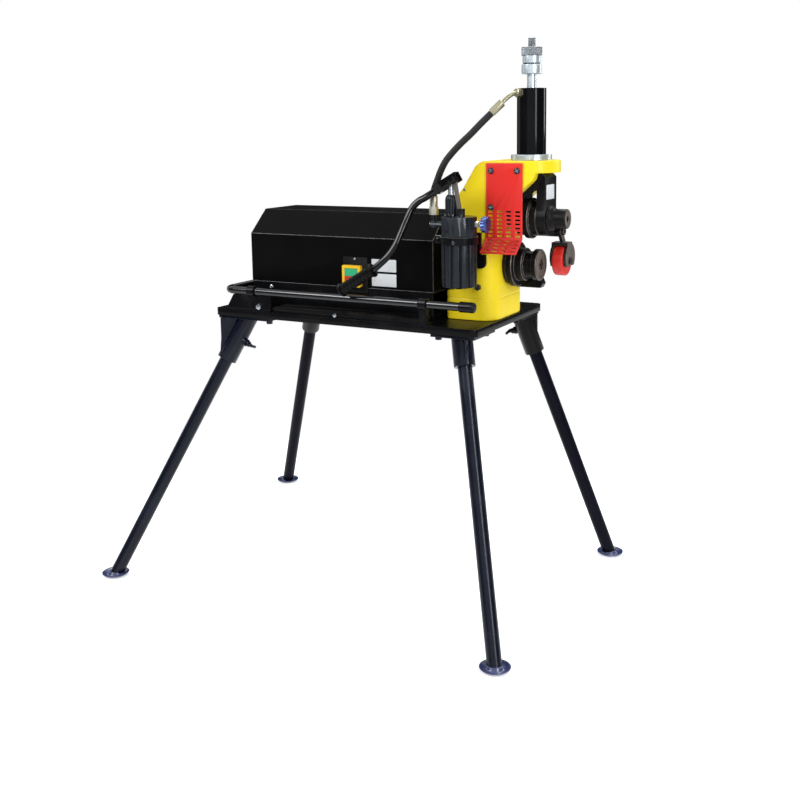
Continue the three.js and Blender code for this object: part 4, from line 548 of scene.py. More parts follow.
def cleaned(mesh, near, thin=None, fill_slits=False, outwards=False):
    """Points closer than near metres become one. Where asked, edges shorter than thin go, slits are
    filled and faces turn outwards."""
    work = bmesh.new()
    work.from_mesh(mesh)
    bmesh.ops.remove_doubles(work, verts=work.verts, dist=near)
    if thin is not None:
        bmesh.ops.dissolve_degenerate(work, edges=work.edges, dist=thin)
    if fill_slits:
        bmesh.ops.holes_fill(work, edges=[edge for edge in work.edges if edge.is_boundary], sides=6)
    if outwards:
        bmesh.ops.recalc_face_normals(work, faces=work.faces)
    work.to_mesh(mesh)
    work.free()
    return mesh


def solid_mesh(name, points, sharp=soft_angle):
    """A closed mesh from a grid of points in millimetres: a quad between each four neighbours, with
    its columns closed into rings. It is merged at its poles, and its faces look outwards."""
    rows, columns = points.shape[:2]
    index = np.arange(rows * columns).reshape(rows, columns)
    low, high = index[:-1], index[1:]
    faces = np.stack([low, np.roll(low, -1, axis=1), np.roll(high, -1, axis=1), high], axis=-1).reshape(-1, 4)
    mesh = bpy.data.meshes.new(name)
    mesh.from_pydata(((points.reshape(-1, 3) + layout_shift) * mm).tolist(), [], faces.tolist())
    return smoothed(cleaned(mesh, 1e-6, thin=1e-7, outwards=True), sharp)


def basis(direction, hint):
    """Two directions square to direction: the first as near hint as can be, the second completes it."""
    direction = unit(direction)
    first = unit(hint - direction * (np.asarray(hint) * direction).sum(-1, keepdims=True))
    return direction, first, np.cross(direction, first)


def ring_angles(sides):
    """Angles round a ring, one for each side."""
    return np.linspace(0, 2 * np.pi, sides, endpoint=False)


def turned(profile, start, direction, sides=96, shape=None):
    """A profile of (radius, distance) points turned round a line: start + distance * direction +
    radius * (cos a * first + sin a * second). shape(radius, distance, a) may change the radius."""
    profile = np.asarray(profile, float)
    direction = unit(direction)
    direction, first, second = basis(direction, z_axis if abs(direction[2]) < 0.9 else x_axis)
    angle = np.broadcast_to(ring_angles(sides), (len(profile), sides))
    radius, distance = (np.repeat(column[:, None], sides, axis=1) for column in profile.T)
    if shape is not None:
        radius = shape(radius, distance, angle)
    points = np.asarray(start) + distance[..., None] * direction
    return points + (radius * np.cos(angle))[..., None] * first + (radius * np.sin(angle))[..., None] * second


def along_path(path, radius, sides=48, hint=z_axis):
    """A tube: at each point of the path a ring square to the path, with the same hint for all rings.
    The ends close flat, on their own middles."""
    path = np.asarray(path, float)
    rings = [np.concatenate([a[:1], a, a[-1:]]) for a in (path, *basis(np.gradient(path, axis=0), hint))]
    path, first, second = (rings[i][:, None] for i in (0, 2, 3))
    radius = np.array([0.0, *[radius] * (len(path) - 2), 0.0])[:, None, None]
    angle = ring_angles(sides)[None, :, None]
    return path + radius * (np.cos(angle) * first + np.sin(angle) * second)


def slab_points(outline, low, high, plane, round_over, steps=3):
    """An outline in a plane raised from low to high: rows climb its walls and turn over both rims by
    round_over, moving each point in towards the outline's middle line, and end on the middle."""
    outline = np.asarray(outline, float)
    tangent = np.roll(outline, -1, axis=0) - np.roll(outline, 1, axis=0)
    inward = unit(np.stack([-tangent[:, 1], tangent[:, 0]], axis=1))
    turn = np.linspace(0, np.pi / 2, steps + 1)
    inset, rise = round_over * (1 - np.sin(turn)), round_over * (1 - np.cos(turn))
    flat = outline[None] + np.concatenate([inset, inset[::-1]])[:, None, None] * inward[None]
    middle = np.broadcast_to(outline.mean(axis=0), (1, *outline.shape))
    flat = np.concatenate([middle, flat, middle])
    height = np.concatenate([[low], low + rise, high - rise[::-1], [high]])
    points = np.empty((*flat.shape[:2], 3))
    across, up, out = {"xz": (0, 2, 1), "yz": (1, 2, 0)}[plane]
    points[..., across], points[..., up], points[..., out] = flat[..., 0], flat[..., 1], height[:, None]
    return points


def rounded_box(x0, y0, x1, y1, radius, steps=6):
    """The outline of a rectangle with round corners, anticlockwise: a quarter circle at each corner."""
    turn = np.linspace(0, np.pi / 2, steps + 1)
    arc = radius * np.stack([np.cos(turn), np.sin(turn)], axis=1)
    centres = np.array([[x1 - radius, y1 - radius], [x0 + radius, y1 - radius],
                        [x0 + radius, y0 + radius], [x1 - radius, y0 + radius]])
    quarter = np.array([[[1, 0], [0, 1]], [[0, 1], [-1, 0]], [[-1, 0], [0, -1]], [[0, -1], [1, 0]]])
    return np.concatenate([centre + arc @ turned_by for centre, turned_by in zip(centres, quarter)])


def rod(radius, length):
    """The profile of a plain rod."""
    return [[0, 0], [radius, 0], [radius, length], [0, length]]


def rows_at(radius, first, last, count):
    """Many profile points at one radius, so that a shape function has rows to work on."""
    return [[radius, distance] for distance in np.linspace(first, last, count)]


# %% [markdown]
# ## Putting a piece in its place
# A finished piece says three things: the body that it rides on, the plain nodes that it stands
# for, and the finish slot that it fills. Copies of plain nodes get their doubled points merged
# first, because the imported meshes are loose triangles.

# %% Naming and seating pieces
dressed = {}


def tally(label):
    """Prints how many pieces are dressed so far."""
    print(label + ":", len(dressed), "pieces so far")


def seat(name, mesh, look, node, replaces):
    """An object for a mesh, with its finish, and with its body and slot taken from a node."""
    piece = bpy.data.objects.new(name, mesh)
    scene.collection.objects.link(piece)
    mesh.materials.clear()
    mesh.materials.append(finishes[look])
    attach(piece, body_of[node])
    if replaces:
        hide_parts(*replaces)
    dressed[name] = piece
    return piece


def array_of(items, key):
    """A vector property of all items, such as their normals, with a row for each."""
    values = np.empty(len(items) * 3)
    items.foreach_get(key, values)
    return values.reshape(-1, 3)


def second_finish(piece, look, chosen):
    """Faces get a further finish where chosen(normal, middle) holds: middle is in machine millimetres."""
    mesh = piece.data
    mesh.materials.append(finishes[look])
    index = np.zeros(len(mesh.polygons), np.int32)
    mesh.polygons.foreach_get("material_index", index)
    middle = array_of(mesh.polygons, "center") / mm - layout_shift
    index[chosen(array_of(mesh.polygons, "normal"), middle)] = len(mesh.materials) - 1
    mesh.polygons.foreach_set("material_index", index)
    return piece


def worn_and_lit_end(piece, from_x=0.0):
    """Faces past from_x that look along +X, towards the side lamp, get a lighter brown-grey steel
    finish: bare steel, painted lighter as painted light from that side.
    """
    return second_finish(piece, "worn_and_lit_face",
                         lambda normal, middle: (normal[:, 0] > facing) & (middle[:, 0] > from_x))


def rubbed_and_lit_rims(piece, from_radius=31):
    """Chamfers between an end and a band get the lighter rim steel: rubbed wear, and a painted
    highlight. from_radius leaves the chamfers of the bore out.
    """
    def chosen(normal, middle):
        tilt = np.abs(normal[:, 0])
        away = middle[:, 1:] - middle[:, 1:].mean(axis=0)
        return (tilt > 0.4) & (tilt < 0.92) & (np.hypot(*away.T) > from_radius)
    return second_finish(piece, "rim_steel", chosen)


def grid_piece(name, look, node, points, replaces=(), sharp=soft_angle):
    """A piece whose skin is a grid of points, seated like its node."""
    return seat(name, solid_mesh(name, points, sharp), look, node, replaces)


def turned_piece(name, look, node, profile, start, direction, soften=0.8, replaces=(), **how):
    """A turned piece whose profile is softened at its corners."""
    return grid_piece(name, look, node, turned(rounded(profile, soften), start, direction, **how), replaces)


def merged_copy(node):
    """A node's mesh as one skin, with its doubled points merged. Its faces stay triangles, because
    a flat face with holes in it comes out wrong when it is joined."""
    mesh = nodes[node].data.copy()
    mesh.name = node + "_copy"
    return cleaned(mesh, 2e-6)


def softened(node, look, width, segments=2, angle=36):
    """A copy of a node whose edges sharper than angle are rounded by width millimetres."""
    piece = seat(node + "_body", smoothed(merged_copy(node), angle), look, node, [node])
    bevel = piece.modifiers.new("round_edges", "BEVEL")
    bevel.width = width * mm
    bevel.segments = segments
    bevel.limit_method = "ANGLE"
    bevel.angle_limit = math.radians(angle)
    bevel.harden_normals = True
    bevel.miter_outer = "MITER_ARC"
    return piece


def applied(piece):
    """The piece's modifiers worked into its mesh."""
    evaluated = piece.evaluated_get(bpy.context.evaluated_depsgraph_get())
    mesh = bpy.data.meshes.new_from_object(evaluated)
    piece.modifiers.clear()
    piece.data = mesh
    return piece


def mended(piece):
    """The points that a cut or a bevel leaves doubled merge, and its slits are filled."""
    cleaned(piece.data, 4e-6, thin=4e-6, fill_slits=True)
    return piece


def carved(piece, cutters):
    """The piece with the cutters' shapes taken out of it."""
    tools = []
    for points in cutters:
        tool = bpy.data.objects.new("cutter", solid_mesh("cutter", points))
        scene.collection.objects.link(tool)
        tools.append(tool)
        cut = piece.modifiers.new("carve", "BOOLEAN")
        cut.operation = "DIFFERENCE"
        cut.solver = "EXACT"
        cut.object = tool
    bpy.context.view_layer.update()
    applied(piece)
    for tool in tools:
        bpy.data.objects.remove(tool)
    smoothed(mended(piece).data, soft_angle)
    return piece


def socketed(piece, start, radius, deep=30):
    """The piece with a hexagon socket that opens along +X."""
    return carved(piece, [turned(rod(radius, deep), start, x_axis, sides=6)])


def cast_copy(node, look, voxel, smoothing):
    """A copy of a node as a casting: its skin is rebuilt in small even cells and smoothed, so every
    edge is rounded by about one and a half cells, inside corners too."""
    piece = seat(node + "_body", merged_copy(node), look, node, [node])
    remesh = piece.modifiers.new("cells", "REMESH")
    remesh.mode = "VOXEL"
    remesh.voxel_size = voxel * mm
    smooth = piece.modifiers.new("soften", "SMOOTH")
    smooth.factor = 0.5
    smooth.iterations = smoothing
    bpy.context.view_layer.update()
    smoothed(applied(piece).data)
    return piece


# %% [markdown]
# Two kinds of screw head recur: a hexagon with its corners turned off, and a pan head with a slot
# or a cross pressed into its dome.

# %% Screw heads
hexagon = np.pi / 3


def hex_head(name, look, node, place, direction, radius, height):
    """A bolt's head. A hexagon's radius is r * cos 30 / cos of the angle from its nearest flat's
    middle, and the top corners are cut back to the round profile."""
    profile = [[0, 0], [radius, 0], [radius, height * 0.8], [radius * 0.86, height], [0, height]]

    def corners(r, distance, angle):
        hexed = r * np.cos(hexagon / 2) / np.cos(np.mod(angle, hexagon) - hexagon / 2)
        return np.where(distance > height * 0.9, np.minimum(hexed, r), hexed)

    points = turned(rounded(profile, 0.35, 2), place, direction, sides=72, shape=corners)
    return grid_piece(name, look, node, points, sharp=24)


def pan_head(name, look, node, place, direction, radius, height, slots=2, hint=z_axis, recess=None):
    """A screw's head: a dome h * (1 - 0.55 * (r / R) ** 4) with its recess pressed in where a slot's
    middle line is near, fading out at the tips. recess is a lighter finish painted into the recess,
    a painted highlight in the slot or cross."""
    share = np.linspace(1, 0, 28)[:, None]
    angle = ring_angles(96)[None, :]
    r = share * radius
    u, v = r * np.cos(angle), r * np.sin(angle)
    across = np.abs(v) if slots == 1 else np.minimum(np.abs(u), np.abs(v))
    reach = radius * (1.0 if slots == 1 else 0.58)
    sink = np.clip(1.5 - across / (radius * 0.11), 0, 1) * np.clip((reach - r) / (radius * 0.12) + 0.5, 0, 1)
    top = height * (1 - 0.55 * share ** 4) - sink * height * 0.55
    place = np.asarray(place, float)
    direction, first, second = basis(direction, hint)
    disc = place + top[..., None] * direction + u[..., None] * first + v[..., None] * second
    skirt = place + u[:1, :, None] * first + v[:1, :, None] * second
    points = np.concatenate([np.broadcast_to(place, skirt.shape), skirt, disc])
    piece = grid_piece(name, look, node, points, sharp=40)

    def in_slot(normal, middle):
        sides = np.abs((middle - place) @ np.stack([first, second], axis=1))
        return (sides.min(axis=1) < radius * 0.14) & (sides.max(axis=1) < reach)

    return piece if recess is None else second_finish(piece, recess, in_slot)


# %% [markdown]
# ## Table and corner weldments
# The table is a thick plate with its top edges knocked off. Under each corner hangs a weldment: a
# plate, a slanted socket for the leg and a rib. They are right as they are in the frame, so their
# copies only get rounded edges, which is what catches the light on black paint.

# %% Table and sockets
softened("table_plate", "stand_paint", 1.6, segments=3)
for corner in ("front_left", "back_left", "front_right", "back_right"):
    # painted light: the front sockets get the lighter navy leg paint and the back ones the darker stand paint
    softened("leg_socket_" + corner, "leg_paint" if "front" in corner else "stand_paint", 0.7)
    mended(applied(softened("thumb_screw_" + corner, "leg_paint", 0.6, angle=50)))
tally("table")

# %% [markdown]
# ## Legs
# A leg is a steel tube welded to a pressed round foot. The tube is a ring carried down the leg's
# line, and its last ring lies in the plane of the foot. The foot is turned: flat in the middle,
# with a rim that curls up, a weld round the tube, and two holes for screws. A leg's line is
# written as its top and its splay, which is how far its foot stands out from under it.

# %% Legs
leg_tube = {"radius": 17, "start": 14, "rim": 1, "straight": 30, "floor": 2.0}
foot = {"radius": 35, "flat": 29, "rim": 8, "thick": 4, "hole": 3, "hole_place": 24.5, "hole_low": 10}
leg_lines = {
    "front_left": ((-306, -160, 673), (-280, -246)),
    "back_left": ((-308, 157, 673), (-301, 259)),
    "front_right": ((315, -160, 673), (193, -245)),
    "back_right": ((333, 161, 673), (202, 149)),
}


def leg_points(top, bottom):
    """Rings down the leg's line. The last ring slides along the line until it lies at the floor height."""
    along = unit(bottom - top)
    length = np.linalg.norm(bottom - top)
    radius, rim, floor = leg_tube["radius"], leg_tube["rim"], leg_tube["floor"]
    straight_end = length - leg_tube["start"] - leg_tube["straight"]
    profile = [[0, 0], [radius - rim, 0], [radius, rim], [radius, length * 0.5], [radius, straight_end]]
    points = turned(profile, top + along * leg_tube["start"], along, sides=64)
    last = points[-1] + along * ((points[-1, :, 2:] - floor) / -along[2])
    middle = np.broadcast_to(bottom + along * (floor / along[2]), last.shape)
    return np.concatenate([points, last[None], middle[None]])


def foot_points(bottom):
    """The foot's profile turned round the upright: a flat disc, a curled rim and a weld fillet."""
    radius, flat, rim, thick = (foot[key] for key in ("radius", "flat", "rim", "thick"))
    profile = [[0, 0], [flat - 3, 0], [radius - 0.6, rim - 2.4], [radius, rim], [radius - 2.4, rim],
               [flat - 4, thick], [23.5, thick], [20, thick + 2.2], [17.5, thick + 7], [12, thick + 7.5],
               [0, thick + 7.5]]
    return turned(rounded(profile, 2.0), bottom, z_axis)


for corner, (top, splay) in leg_lines.items():
    node = "leg_" + corner
    # painted shade: the back legs get the darker copy of the leg paint
    look = "leg_paint" if "front" in corner else "shaded_leg_paint"
    bottom = np.array((top[0] + splay[0], top[1] + splay[1], 0.0))
    grid_piece(node + "_tube", look, node, leg_points(np.array(top, float), bottom), [node])
    pad = grid_piece(node + "_foot", "foot_paint", node, foot_points(bottom))
    out = unit(np.array((splay[1], -splay[0], 0.0)))
    below = bottom - foot["hole_low"] * z_axis
    carved(pad, [turned(rod(foot["hole"], 30), below + side * foot["hole_place"] * out, z_axis, sides=24)
                 for side in (-1, 1)])
tally("legs")

# %% [markdown]
# ## Cast head frame
# The yellow frame is a painted casting, so none of its edges is sharp, and the corners where walls
# meet are filled with a radius too. A bevel only does outside edges, so the copy is rebuilt in
# small cells and smoothed instead.

# %% Head frame
seam = {"height": 751.6, "reach": 1.3, "depth": 1.2, "search": 1.1}


def pressed_seam(piece):
    """The parting line of the mould: points near its height sink against their own normals by
    depth * exp(-(d / reach) ** 2), where d is their distance from the row of cells nearest to it."""
    mesh = piece.data
    place, normal = array_of(mesh.vertices, "co"), array_of(mesh.vertices, "normal")
    level = place[:, 2] / mm
    row = np.median(level[np.abs(level - seam["height"]) < seam["search"]])
    sink = seam["depth"] * mm * np.exp(-((level - row) / seam["reach"]) ** 2)
    sink = sink * (np.abs(normal[:, 2]) < 0.5)
    mesh.vertices.foreach_set("co", (place - normal * sink[:, None]).reshape(-1))
    mesh.update()


head = cast_copy("head_frame", "yellow_paint", voxel=2.0, smoothing=5)
pressed_seam(head)
print("head frame:", len(head.data.polygons), "faces")

# %% [markdown]
# ## Cylinder, rod and depth nut
# The ram's cylinder is a smooth black drum on a bright notched ring. Its rod comes out at the top
# with a stop nut: a stepped sleeve with a groove, and a collar with a diamond knurl that is there
# for the fingers. The knurl is two sets of slanted grooves, so the height is the lesser of two
# waves that lean opposite ways.

# %% Cylinder and its ring
ram_x, jaw_top, seat_gap = 424, 1079, 0.3
drum_radius, drum_height, ring_thick = 34.5, 154, 13
drum_low = jaw_top + seat_gap + ring_thick + seat_gap
softened("cylinder_flange", "satin_steel", 0.8, segments=3)


def on_ram(height):
    """The place at a height on the ram's own line."""
    return np.array((ram_x, 0.0, height))


drum = [[0, 0], [drum_radius, 0], [drum_radius, drum_height], [24, drum_height], [23, drum_height - 1.5],
        [13.5, drum_height - 1.5], [12.6, drum_height - 0.4], [11.6, drum_height - 0.4],
        [11.6, drum_height - 8], [0, drum_height - 8]]
turned_piece("ram_cylinder_drum", "cylinder_paint", "ram_cylinder", drum, on_ram(drum_low), z_axis,
             soften=1.0, sides=160, replaces=["ram_cylinder"])

# %% Rod, nut and knurled collar
rod_bottom, rod_radius = 1028, 11
nut_low = drum_low + drum_height + 33
collar_low, collar_height = nut_low + 42.3, 19
collar_top = collar_low + collar_height
stub = {"radius": 8.8, "pitch": 1.75, "depth": 0.8, "first": 0.5, "last": 20.5}
knurl = {"radius": 24.4, "from_radius": 23, "count": 22, "lean": 0.84, "depth": 1.1, "first": 1.6,
         "last": 17.4, "fade": 0.5}
turned_piece("ram_rod_shaft", "satin_steel", "ram_rod", rod(rod_radius, collar_top - 1 - rod_bottom),
             on_ram(rod_bottom), z_axis, replaces=["ram_rod"])


def threaded(radius, distance, angle):
    """A screw thread: the radius drops by depth times a triangle wave of (distance / pitch - angle)."""
    wave = np.abs(2 * np.mod(distance / stub["pitch"] - angle / (2 * np.pi), 1) - 1)
    inside = (distance > stub["first"] + 0.1) & (distance < stub["last"] - 0.1) & (radius > 1)
    return radius - np.where(inside, stub["depth"] * wave, 0)


def diamond_knurl(radius, distance, angle):
    """The lesser of two slanted waves, so that raised diamonds are left, faded out at both rims."""
    first = np.abs(np.sin(knurl["count"] * angle + distance * knurl["lean"]))
    second = np.abs(np.sin(knurl["count"] * angle - distance * knurl["lean"]))
    rim = np.clip(np.minimum(distance - knurl["first"], knurl["last"] - distance) / knurl["fade"], 0, 1)
    sink = knurl["depth"] * (1 - np.minimum(first, second)) * rim
    return radius - np.where(radius > knurl["from_radius"], sink, 0)


stub_profile = [[0, 0], [stub["radius"], 0], *rows_at(stub["radius"], stub["first"], stub["last"], 90),
                [8.2, 22], [4.6, 24.4], [0, 24.6]]
grid_piece("ram_rod_thread", "worked_steel", "ram_rod",
           turned(stub_profile, on_ram(collar_top - 0.6), z_axis, sides=64, shape=threaded))
sleeve_nut = [[11.5, 0], [22.8, 0], [23.8, 1], [23.8, 21], [22.6, 22], [19.6, 22.4], [19.6, 24.4],
              [21.6, 24.8], [21.6, 41], [20.8, 42], [11.5, 42], [11.5, 0]]
nut = turned_piece("depth_nut_sleeve", "satin_steel", "depth_nut", sleeve_nut, on_ram(nut_low), z_axis,
                   soften=0.4, sides=128, replaces=["depth_nut"])
nut_groove = nut_low + 23.4
# painted shade: the nut's groove gets the dark oiled steel, darker than the sleeve
second_finish(nut, "oiled_steel", lambda normal, middle: np.abs(middle[:, 2] - nut_groove) < 1.2)
collar_profile = [[11.5, 0], [23.4, 0], [knurl["radius"], 0.9], *rows_at(knurl["radius"], 1.4, 17.6, 70),
                  [knurl["radius"], 18.1], [23.4, collar_height], [11.5, collar_height], [11.5, 0]]
collar = turned(collar_profile, on_ram(collar_low), z_axis, sides=352, shape=diamond_knurl)
grid_piece("depth_collar_knurl", "worked_steel", "depth_collar", collar, ["depth_collar"], sharp=60)
tally("ram")

# %% [markdown]
# ## Rolls, slide and shaft
# Both grooving rolls are turned from tool steel: bands of different radius with a small chamfer at
# each corner. The lower one has a flange that guides the pipe's end, and the upper one a ridge
# that presses the groove. The slide that holds the upper roll has its edges rounded by a bevel.

# %% Slide, rolls and shafts
spindle_z, upper_z = 829, 941
drive_start, upper_start, shaft_start, bolt_start = 378, 414, 397.5, 439.3
softened("slide_yoke", "cast_black", 1.8, segments=3)
drive_profile = [[18.5, 0], [53, 0], [55, 2], [55, 15], [53, 17], [41, 17], [40, 18], [40, 35], [38, 37],
                 [32, 37], [32, 57], [36, 57], [38, 59], [38, 71], [36, 73], [30, 73], [29, 72.4],
                 [14, 72.4], [13, 73], [11, 73], [11, 61], [18.5, 61], [18.5, 0]]
drive_roll = turned_piece("drive_roll_body", "roll_steel", "drive_roll", drive_profile,
                          (drive_start, 0, spindle_z), x_axis, soften=0.5, sides=160, replaces=["drive_roll"])
# painted light: the drive roll's end face looks towards the side lamp and is painted a lighter brown-grey
worn_and_lit_end(drive_roll, drive_start + 67)
# painted highlight: the drive roll's rim chamfers get the lighter rim steel, over their rubbed wear
rubbed_and_lit_rims(drive_roll)
upper_profile = [[15.6, 0], [42, 0], [42, 3], [46.5, 3], [49, 5.2], [49, 16.8], [46.5, 19], [42, 19],
                 [42, 35.5], [40, 37.5], [15.6, 37.5], [15.6, 0]]
# painted highlight: the upper roll's rim chamfers get the lighter rim steel too
rubbed_and_lit_rims(turned_piece("upper_roll_body", "roll_steel", "upper_roll", upper_profile,
                         (upper_start, 0, upper_z), x_axis, soften=0.6, sides=160, replaces=["upper_roll"]))
shaft_profile = [[0, 0], [15, 0], [15, 76.8], [32, 76.8], [32, 79], [29.5, 84], [24.5, 88.6], [23.5, 92],
                 [23.5, 117.5], [21.5, 119.8], [12, 119.8], [11, 119], [0, 119]]
shaft = turned_piece("upper_shaft_nose", "roll_steel", "upper_shaft", shaft_profile,
                     (shaft_start, 0, upper_z), x_axis, sides=128, replaces=["upper_shaft"])
# painted light: the shaft's and the bolt's end faces look towards the side lamp and are painted a lighter
# brown-grey
worn_and_lit_end(socketed(shaft, (shaft_start + 110, 0, upper_z), 9), shaft_start + 117.5)
bolt = turned_piece("draw_bolt_head", "oiled_steel", "draw_bolt", rod(9.5, 9), (bolt_start, 0, spindle_z),
                    x_axis, soften=1.0, sides=64, replaces=["draw_bolt"])
worn_and_lit_end(socketed(bolt, (bolt_start + 4, 0, spindle_z), 6), bolt_start + 6.7)
softened("spindle_bearing_cover", "oiled_steel", 0.6, segments=3)
softened("pipe_stop_block", "stand_paint", 0.6, segments=3)
softened("drive_spindle", "bright_steel", 0.5, segments=3)
tally("rolls")

# %% [markdown]
# ## Pipe stabiliser
# A small arm hangs beside the upper roll and presses a plastic wheel on the pipe. Its fork is
# folded plate with round cheeks, and the wheel is turned with full shoulders.

# %% Stabiliser
roller_place = (461.5, 72, 833)
# painted light: the arm's faces that look towards the side lamp are painted a lighter brown-grey
worn_and_lit_end(applied(softened("stabiliser_arm", "oiled_steel", 0.8, segments=3)))
softened("stabiliser_pin", "oiled_steel", 0.6, segments=3)
wheel_profile = [[7, 0], [20, 0], [21, 0.8], [31, 0.8], [36, 1.5], [37, 5], [37, 24], [36, 27.5],
                 [31, 28.2], [21, 28.2], [20, 29], [7, 29], [7, 0]]
turned_piece("stabiliser_roller_wheel", "roller_plastic", "stabiliser_roller", wheel_profile, roller_place,
             x_axis, soften=2.0, sides=128, replaces=["stabiliser_roller"])
tally("stabiliser")

# %% [markdown]
# ## Sheet metal: cover, base and guard
# The cover and the guard are folded sheet. Their copies get small round edges, and the cover's
# paint also has a pale line painted along its edges, a painted highlight, so the folds show as thin
# light lines, which is how they read on the black cover.

# %% Sheet metal
softened("motor_cover", "cover_paint", 1.1, segments=3)
softened("motor_base", "stand_paint", 1.0, segments=3)
guard = softened("front_guard", "red_paint", 0.5)
guard_face = -73.3
guard_screws = [(352, 1056), (418, 1056), (352, 970)]
plain_head_reach = 9.0


def levelled(mesh, centres, face):
    """Points that stand proud of a face near the centres drop back to it, so that plain screw heads
    sink flush, and their walls close up."""
    place = array_of(mesh.vertices, "co")
    own = place / mm - layout_shift
    for x, z in centres:
        near = np.hypot(own[:, 0] - x, own[:, 2] - z) < plain_head_reach
        place[near & (own[:, 1] < face), 1] = (face + layout_shift[1]) * mm
    mesh.vertices.foreach_set("co", place.reshape(-1))
    cleaned(mesh, 2e-6)


levelled(guard.data, guard_screws, guard_face)
for number, (x, z) in enumerate(guard_screws):
    lean = unit(np.array((1, 0, 1.0 - 0.6 * number)))
    # painted highlight: the crosses of the guard's screws get bright steel
    pan_head("guard_screw_" + str(number + 1), "dark_screw", "front_guard", (x, guard_face, z), -y_axis,
             7.2, 4.2, hint=lean, recess="bright_steel")
for place in ("front_right", "front_left", "rear_right", "rear_left"):
    softened("bar_bracket_" + place, "stand_paint", 0.7)
tally("sheet metal")

# %% [markdown]
# ## Screws, bolts and blank plates
# The small bright heads are what makes a black machine look assembled. Each stands on the face
# that carries it: a row gives its name, finish, node, place, radius, height and the number of
# slots, where 0 stands for a hexagon. The plates on the cover and on the slide are left bare.

# %% Small hardware
screw_heads = [
    ("switch_plate_screw", "bright_steel", "switch_plate", (13, -140.8, 839), 2.6, 1.6, 2),
    ("cover_screw", "bright_steel", "motor_base", (-245, -137, 754), 5.4, 3.2, 2),
    ("base_bolt", "bright_steel", "motor_base", (-10, -198.2, 705), 5.9, 6.4, 0),
    ("brace_bolt", "bright_steel", "bar_bracket_front_left", (-238, -201, 711), 8.4, 7.4, 0),
    ("casting_bolt", "dark_screw", "head_frame", (329, -97, 781), 8.2, 7.0, 0),
    ("casting_pin", "zinc_steel", "head_frame", (282, -70, 1011), 3.6, 3.0, 1),
]
blank_plates = [
    ("cover_plate_low", "motor_cover", (60, 774, 129, 805.5), (-138.7, -137.9), "xz"),
    ("cover_plate_high", "motor_cover", (60, 810.5, 129, 841), (-138.7, -137.9), "xz"),
    ("slide_plate", "slide_yoke", (-30, 987.5, 20, 1022), (473.9, 474.7), "yz"),
]
plate_corner, plate_edge = 2.0, 0.25
for name, look, node, place, radius, height, slots in screw_heads:
    if slots:
        pan_head(name, look, node, place, -y_axis, radius, height, slots)
    else:
        hex_head(name, look, node, place, -y_axis, radius, height)
for name, node, box, (low, high), plane in blank_plates:
    outline = rounded_box(*box, plate_corner)
    grid_piece(name, "plate_white", node, slab_points(outline, low, high, plane, plate_edge))
tally("hardware")

# %% [markdown]
# ## Carry bar
# One tube runs along the front, round the left end and along the rear, with moulded caps pushed
# over its ends. The path's corners are parabolas, as in the frame, only with more steps.

# %% Carry bar and caps
bar = {"radius": 10, "y": 197, "z": 749, "left": -345, "right": 348, "rear_right": 268, "bend": 28,
       "in_cap": 19}
bar_corners = [[bar["right"], -bar["y"], bar["z"]], [bar["left"], -bar["y"], bar["z"]],
               [bar["left"], bar["y"], bar["z"]], [bar["rear_right"], bar["y"], bar["z"]]]
grid_piece("carry_bar_tube", "bar_paint", "carry_bar",
           along_path(rounded(bar_corners, bar["bend"], 16), bar["radius"]), ["carry_bar"])
cap_profile = [[0, 19.3], [10.6, 19.3], [10.6, 0], [12.2, 0], [12.5, 1], [12.5, 30], [12.2, 35], [10, 37.4],
               [6, 38], [0, 38]]
for label, right, side in (("front", bar["right"], -1), ("rear", bar["rear_right"], 1)):
    node = "bar_cap_" + label
    turned_piece(node + "_moulding", "cap_rubber", node, cap_profile,
                 (right - bar["in_cap"], side * bar["y"], bar["z"]), x_axis, sides=64, replaces=[node])
tally("carry bar")

# %% [markdown]
# ## Hand pump
# The pump's tank and head are one extruded bar with a dozen narrow flutes, cut off below and
# above the clamp band. A flute is a dip in the radius that is narrow beside the ribs, so the
# radius is R less d times a high power of a cosine. The flutes' floors are painted darker and
# duller, as painted shade in the dips.

# %% Pump body
pump = {"x": 305, "y": -150.6, "radius": 42, "tank_low": 789, "band_z": 898, "drain": 6}
flute = {"count": 12, "depth": 2.3, "power": 8, "from_radius": 34, "floor": 41.0}
tank_height = pump["band_z"] - pump["tank_low"]


def on_pump(height):
    """The place at a height on the pump's own line."""
    return np.array((pump["x"], pump["y"], height))


def dips(angle, count, power):
    """A row of narrow dips round a ring: 1 in the middle of each, and near 0 on the ribs between."""
    return np.abs(np.cos(count / 2 * angle)) ** power


def fluted(radius, distance, angle):
    """The radius dips in each flute, and the ribs between are nearly round."""
    sink = flute["depth"] * dips(angle, flute["count"], flute["power"])
    return radius - np.where(radius > flute["from_radius"], sink, 0)


def shaded_flute_floor(normal, middle):
    """The dips between the tank's ribs, which get a darker paint as painted shade."""
    radius = np.hypot(middle[:, 0] - pump["x"], middle[:, 1] - pump["y"])
    return (np.abs(normal[:, 2]) < 0.5) & (radius > flute["from_radius"]) & (radius < flute["floor"])


tank_profile = [[0, 0], [pump["radius"] - 1.5, 0], [pump["radius"], 1.5], [pump["radius"], tank_height - 1.2],
                [pump["radius"] - 1, tank_height - 0.15], [0, tank_height - 0.15]]
tank = turned_piece("pump_tank_body", "pump_paint", "pump_tank", tank_profile, on_pump(pump["tank_low"]),
                    z_axis, sides=288, replaces=["pump_tank"], shape=fluted)
